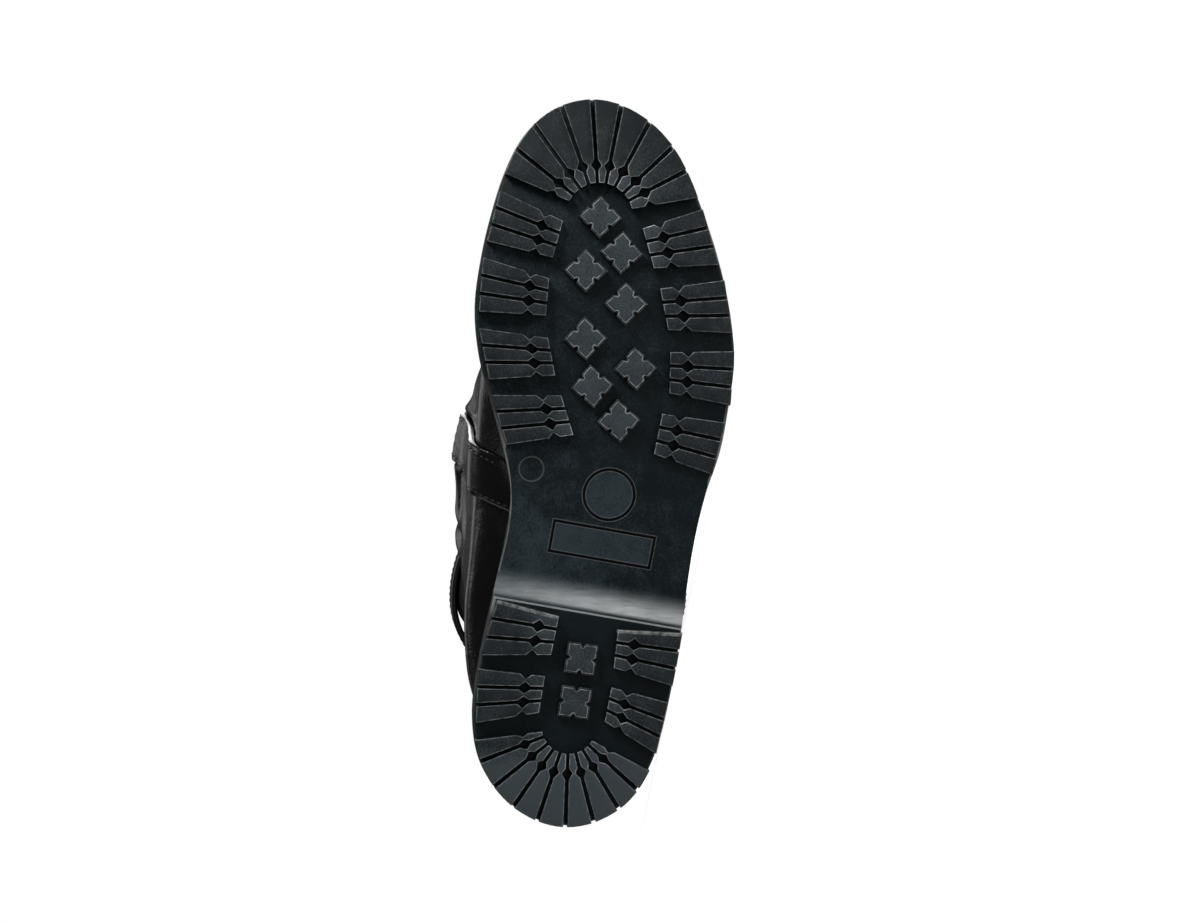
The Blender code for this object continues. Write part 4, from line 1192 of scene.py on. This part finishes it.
instep_normal = Vector((1, -INSTEP_ACROSS, -INSTEP_UP)).normalized()
instep_middle = Vector((INSTEP_START + INSTEP_UP * 60, 0, 60))
instep_out = (Vector((0, 1, 0)) - instep_normal * instep_normal.y).normalized()
instep_up = instep_out.cross(instep_normal)
if instep_up.z < 0:
    instep_up = -instep_up


def instep_ends(track, offset):
    """Turns at which the strap meets the plane just above the midsole, on the outer and inner side."""
    def above(turn):
        spot = track.spot(offset, turn)
        return spot[2] - STRAP_FOOT_Z - STRAP_FOOT_TILT * spot[1]

    found = []
    for low, high in ((-1.3, 0.0), (math.pi + 1.3, math.pi)):
        for _ in range(24):
            half = (low + high) / 2
            if above(half) < 0:
                low = half
            else:
                high = half
        found.append(high)
    return found


INSTEP_TRACK_ROWS = 150
instep_track = Track(instep_middle, instep_normal, instep_out, instep_up, STRAP_WIDTH,
                     INSTEP_TRACK_ROWS + 1, instep_ends)
strap_leather, tone, relief, clouds, place = polished_leather("polished strap leather", 0.35)
strap_leather.show(Base_Color=tone, Roughness=0.19 + clouds * 0.12, Normal=relief)
strap_form = strip(instep_track, strap_profile(STRAP_WIDTH), INSTEP_TRACK_ROWS, skived=0.85)
instep_strap = piece("instep_strap_band", strap_form, strap_leather, 45)
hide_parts("instep_strap")
edge_stitches("instep_strap_thread", instep_track, np.arange(2, INSTEP_TRACK_ROWS - 1), STRAP_WIDTH)


def keeper_loop(track, row, strap_width):
    """A loop of leather over the strap, bent down at both its sides."""
    side = strap_width / 2 + KEEPER_SIDE
    low = GAP + STRAP_THICK + GAP
    # Half of the bend, from the foot to the middle: place under the loop, and which way it is thick
    thick = KEEPER_THICK
    bend = [(side, 0.4, thick, 0), (side, low - 0.9, thick, 0), (side - 0.5, low - 0.2, 1.1, 1.1),
            (side - 1.3, low, 0.3, thick), (0.0, low + 0.1, 0, thick)]
    bend = [(-across, height, -wide, high) for across, height, wide, high in bend] + bend[-2::-1]
    half = KEEPER_WIDTH / 2
    section = ((-half + 0.4, 0.0), (half - 0.4, 0.0), (half, 0.25), (half, 0.75),
               (half - 0.5, 1.0), (-half + 0.5, 1.0), (-half, 0.75), (-half, 0.25))
    run = track.spots[row + 1, TRACK_MIDDLE] - track.spots[row - 1, TRACK_MIDDLE]
    run = run / np.linalg.norm(run)
    bm = bmesh.new()
    loops = []
    for across, height, wide, high in bend:
        share = np.array([part[1] for part in section])
        spots = track.at(np.full(len(section), row), across + wide * share * 0.5, height + high * share)
        loops.append([bm.verts.new(spot + run * part[0]) for spot, part in zip(spots, section)])
    for one, two in zip(loops, loops[1:]):
        edges = []
        for loop in (one, two):
            for pair in zip(loop, loop[1:] + loop[:1]):
                edges.append(bm.edges.get(pair) or bm.edges.new(pair))
        bmesh.ops.bridge_loops(bm, edges=edges)
    close(bm)
    return bm


def instep_point(y, z):
    """The place with this y and z on the plane of the instep strap."""
    return Vector((INSTEP_START + INSTEP_ACROSS * y + INSTEP_UP * z, y, z))


keeper_spot = np.array(instep_point(44, INSTEP_BUCKLE_Z - INSTEP_KEEPER_BELOW))
keeper_row = int(np.argmin(np.linalg.norm(instep_track.spots[:, TRACK_MIDDLE] - keeper_spot, axis=1)))
keeper_form = keeper_loop(instep_track, keeper_row, STRAP_WIDTH)
instep_loop = piece("instep_keeper_loop", keeper_form, strap_leather, 45)
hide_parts("instep_keeper")

# Top strap
# The same leather, round the shaft below the collar; its end runs through the buckle and the loop on
# the outer side. At the inner rear it stands a little off the shaft.
SHAFT_MIDDLE = 86.0
TOP_BUCKLE_TURN = math.radians(236)
TOP_KEEPER_TURN = math.radians(212)
TOP_TRACK_ROWS = 240
top_normal = Vector((-TOP_STRAP_RISE, 0, 1)).normalized()
top_middle = Vector((SHAFT_MIDDLE, 0, strap_rise(SHAFT_MIDDLE))) + top_normal * TOP_STRAP_WIDTH / 2
top_track = Track(top_middle, top_normal, (-1, 0, -TOP_STRAP_RISE), (0, -1, 0), TOP_STRAP_WIDTH,
                  TOP_TRACK_ROWS + 1, lambda track, offset: (0.0, 2 * math.pi))
top_form = strip(top_track, strap_profile(TOP_STRAP_WIDTH), TOP_TRACK_ROWS, standoff)
top_strap = piece("top_strap_band", top_form, strap_leather, 45)
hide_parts("top_strap")
edge_stitches("top_strap_thread", top_track, np.arange(TOP_TRACK_ROWS + 1), TOP_STRAP_WIDTH, standoff)
keeper_row = int(round(TOP_KEEPER_TURN / (2 * math.pi) * TOP_TRACK_ROWS))
keeper_form = keeper_loop(top_track, keeper_row, TOP_STRAP_WIDTH)
top_loop = piece("top_keeper_loop", keeper_form, strap_leather, 45)
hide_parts("top_keeper")

# Buckles
# Nickel-plated steel: a bent wire frame over the strap, and a prong whose ends hook over the frame.
WIRE = 1.5
PRONG_WIRE = 1.15
BUCKLE_CORNER = 4.0
nickel = Finish("nickel plate", Metallic=1.0)
place = nickel.standing()
haze = nickel.grain(place, 1.6, 4.0, 0.7)
tone = nickel.blend(haze.ease(0.3, 0.8), (0.66, 0.64, 0.6, 1), (0.42, 0.4, 0.37, 1))
nickel.show(Base_Color=tone, Roughness=0.2 + haze * 0.2, Normal=nickel.relief(haze, 0.02))


def wire(path, radius, closed):
    """A round wire along a path of places."""
    path = np.array(path, float)
    if closed:
        run = np.roll(path, -1, axis=0) - np.roll(path, 1, axis=0)
    else:
        run = np.gradient(path, axis=0)
    run /= np.linalg.norm(run, axis=1)[:, None]
    up = np.tile((0.0, 0.0, 1.0), (len(path), 1))
    up -= run * (up * run).sum(axis=1)[:, None]
    up /= np.linalg.norm(up, axis=1)[:, None]
    side = np.cross(run, up)
    rows = len(path) if closed else len(path) - 1

    def around(turn, row):
        k = np.round(row * rows).astype(int) % len(path)
        angle = (turn * 2 * math.pi)[:, None]
        return path[k] + (side[k] * np.cos(angle) + up[k] * np.sin(angle)) * radius

    bm = skin(16, rows, around)
    close(bm)
    return bm


def buckle(width, length):
    """Frame and prong, flat in x and y, the prong along y."""
    frame_path = []
    for k, (right, up) in enumerate(((1, 1), (-1, 1), (-1, -1), (1, -1))):
        for turn in range(0, 91, 15):
            angle = math.radians(90 * k + turn)
            frame_path.append((right * (width / 2 - BUCKLE_CORNER) + BUCKLE_CORNER * math.cos(angle),
                               up * (length / 2 - BUCKLE_CORNER) + BUCKLE_CORNER * math.sin(angle), 0))
    end = length / 2
    prong_line = ((-end - 1.2, 0.2), (-end - 0.4, 1.1), (-end + 2, 1.3), (-2, 0.9),
                  (end / 2, 0.9), (end - 1.5, 1.2), (end + 0.4, 1.3), (end + 1.2, 0.9))
    knots = np.linspace(0, 1, len(prong_line))
    prong_path = through(knots, [(0, y, z) for y, z in prong_line], np.linspace(0, 1, 40))
    whole = bmesh.new()
    for part in (wire(frame_path, WIRE, True), wire(prong_path, PRONG_WIRE, False)):
        mesh = as_mesh("part", part)
        whole.from_mesh(mesh)
        bpy.data.meshes.remove(mesh)
    return whole


def crown_under(spot, along, outward, width, length):
    """Height of the face under a frame, above the place at its middle."""
    z = Vector(outward)
    y = (along - z * along.dot(z)).normalized()
    x = y.cross(z)
    high = 0.0
    for u in (-width / 2, 0, width / 2):
        for v in (-length / 2, 0, length / 2):
            point = face_tree.find_nearest(spot + x * u + y * v)[0]
            high = max(high, (point - spot).dot(z))
    return high, Matrix((x, y, z)).transposed().to_4x4()


instep_down = Vector((0, 1, 0)).cross(instep_normal)
top_out = Vector((-math.cos(TOP_BUCKLE_TURN), -math.sin(TOP_BUCKLE_TURN), 0)) * 60.0
top_level = strap_rise(SHAFT_MIDDLE + top_out.x) + TOP_STRAP_WIDTH / 2
# Node, place near the face, way of the prong, width, length, and how deep the frame settles
BUCKLES = (
    ("instep_buckle", instep_point(50, INSTEP_BUCKLE_Z), instep_down, 27.0, 20.0, 0.25),
    ("top_buckle", Vector((SHAFT_MIDDLE, 0, top_level)) + top_out, Vector((-0.6, 1, 0)), 30.0, 22.0, 0.4),
)
for node, target, along, width, length, settle in BUCKLES:
    spot, out = face_tree.find_nearest(target)[:2]
    if out.dot(spot - Vector((100, 0, 60))) < 0:
        out = -out
    crown, turn = crown_under(spot, along, out, width, length)
    form = buckle(width, length)
    rise = crown + STRAP_THICK + 2 * GAP + WIRE - settle
    bmesh.ops.transform(form, matrix=Matrix.Translation(spot + out * rise) @ turn, verts=form.verts)
    made = piece(node + "_frame", form, nickel, 60)
    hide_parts(node)

# Floor, light and camera
# A plain pale sweep and soft boxes; the camera looks square at the sole, rolled so that the toe is up.
floor = bmesh.new()
bmesh.ops.create_grid(floor, x_segments=1, y_segments=1, size=3)
floor_piece = in_scene("floor", as_mesh("floor", floor))
floor_paint = Finish("pale floor", Base_Color=(0.25, 0.25, 0.25, 1), Roughness=0.9, Emission_Strength=1.0)
x, y, z = floor_paint.axes(floor_paint.node("TexCoord", {}, {}, "Object"))
far = from_point(x, y, (0, 0)).ease(0.35, 0.9)
floor_paint.show(Emission_Color=floor_paint.blend(far, (0.9, 0.9, 0.9, 1), (1.05, 1.05, 1.05, 1)))
floor_piece.data.materials.append(floor_paint.material)

world = bpy.data.worlds.new("studio")
world.use_nodes = True
studio = world.node_tree
surround = studio.nodes["Background"]
surround.inputs["Color"].default_value = (0.95, 0.97, 1.0, 1)
surround.inputs["Strength"].default_value = 0.05
seen = studio.nodes.new("ShaderNodeBackground")
seen.inputs["Color"].default_value = (1, 1, 1, 1)
ray = studio.nodes.new("ShaderNodeLightPath")
either = studio.nodes.new("ShaderNodeMixShader")
studio.links.new(ray.outputs["Is Camera Ray"], either.inputs[0])
studio.links.new(surround.outputs[0], either.inputs[1])
studio.links.new(seen.outputs[0], either.inputs[2])
studio.links.new(either.outputs[0], studio.nodes["World Output"].inputs["Surface"])
bpy.context.scene.world = world


# Soft boxes that face the boot: place in metres, size, power
SOFT_BOXES = (
    ("key box", (1.0, -1.0, 0.9), 0.6, 26),
    ("side box", (-1.3, -0.3, 1.1), 0.9, 3),
    ("back box", (1.0, 1.2, 0.8), 1.2, 34),
    ("shaft box", (-0.15, 0.8, 1.1), 0.6, 1.1),
)
BOOT_MIDDLE = Vector((0, 0, 0.06))
for name, place, size, power in SOFT_BOXES:
    lamp = bpy.data.lights.new(name, "AREA")
    lamp.shape = "SQUARE"
    lamp.size = size
    lamp.energy = power
    box = in_scene(name, lamp)
    box.location = place
    box.rotation_euler = (BOOT_MIDDLE - Vector(place)).to_track_quat("-Z", "Y").to_euler()
overhead = bpy.data.lights.new("overhead light", "SUN")
overhead.energy = 0.4
overhead.angle = math.radians(25)
in_scene("overhead light", overhead)

EYE = LYING @ Vector((151.0, -58.7, -1100.0))
LOOK_AT = LYING @ Vector((151.0, 3.0, 0.0))
lens = bpy.data.cameras.new("camera")
lens.lens = 80.5
lens.clip_start = 0.01
lens.clip_end = 20
camera = in_scene("camera", lens)
look = (LOOK_AT - EYE).normalized()
toe_up = LYING_TURN @ Vector((1, 0, 0))
right = look.cross(toe_up).normalized()
upright = right.cross(look)
camera.matrix_world = Matrix.Translation(EYE) @ Matrix((right, upright, -look)).transposed().to_4x4()
bpy.context.scene.camera = camera
bpy.context.scene.view_settings.view_transform = "Standard"
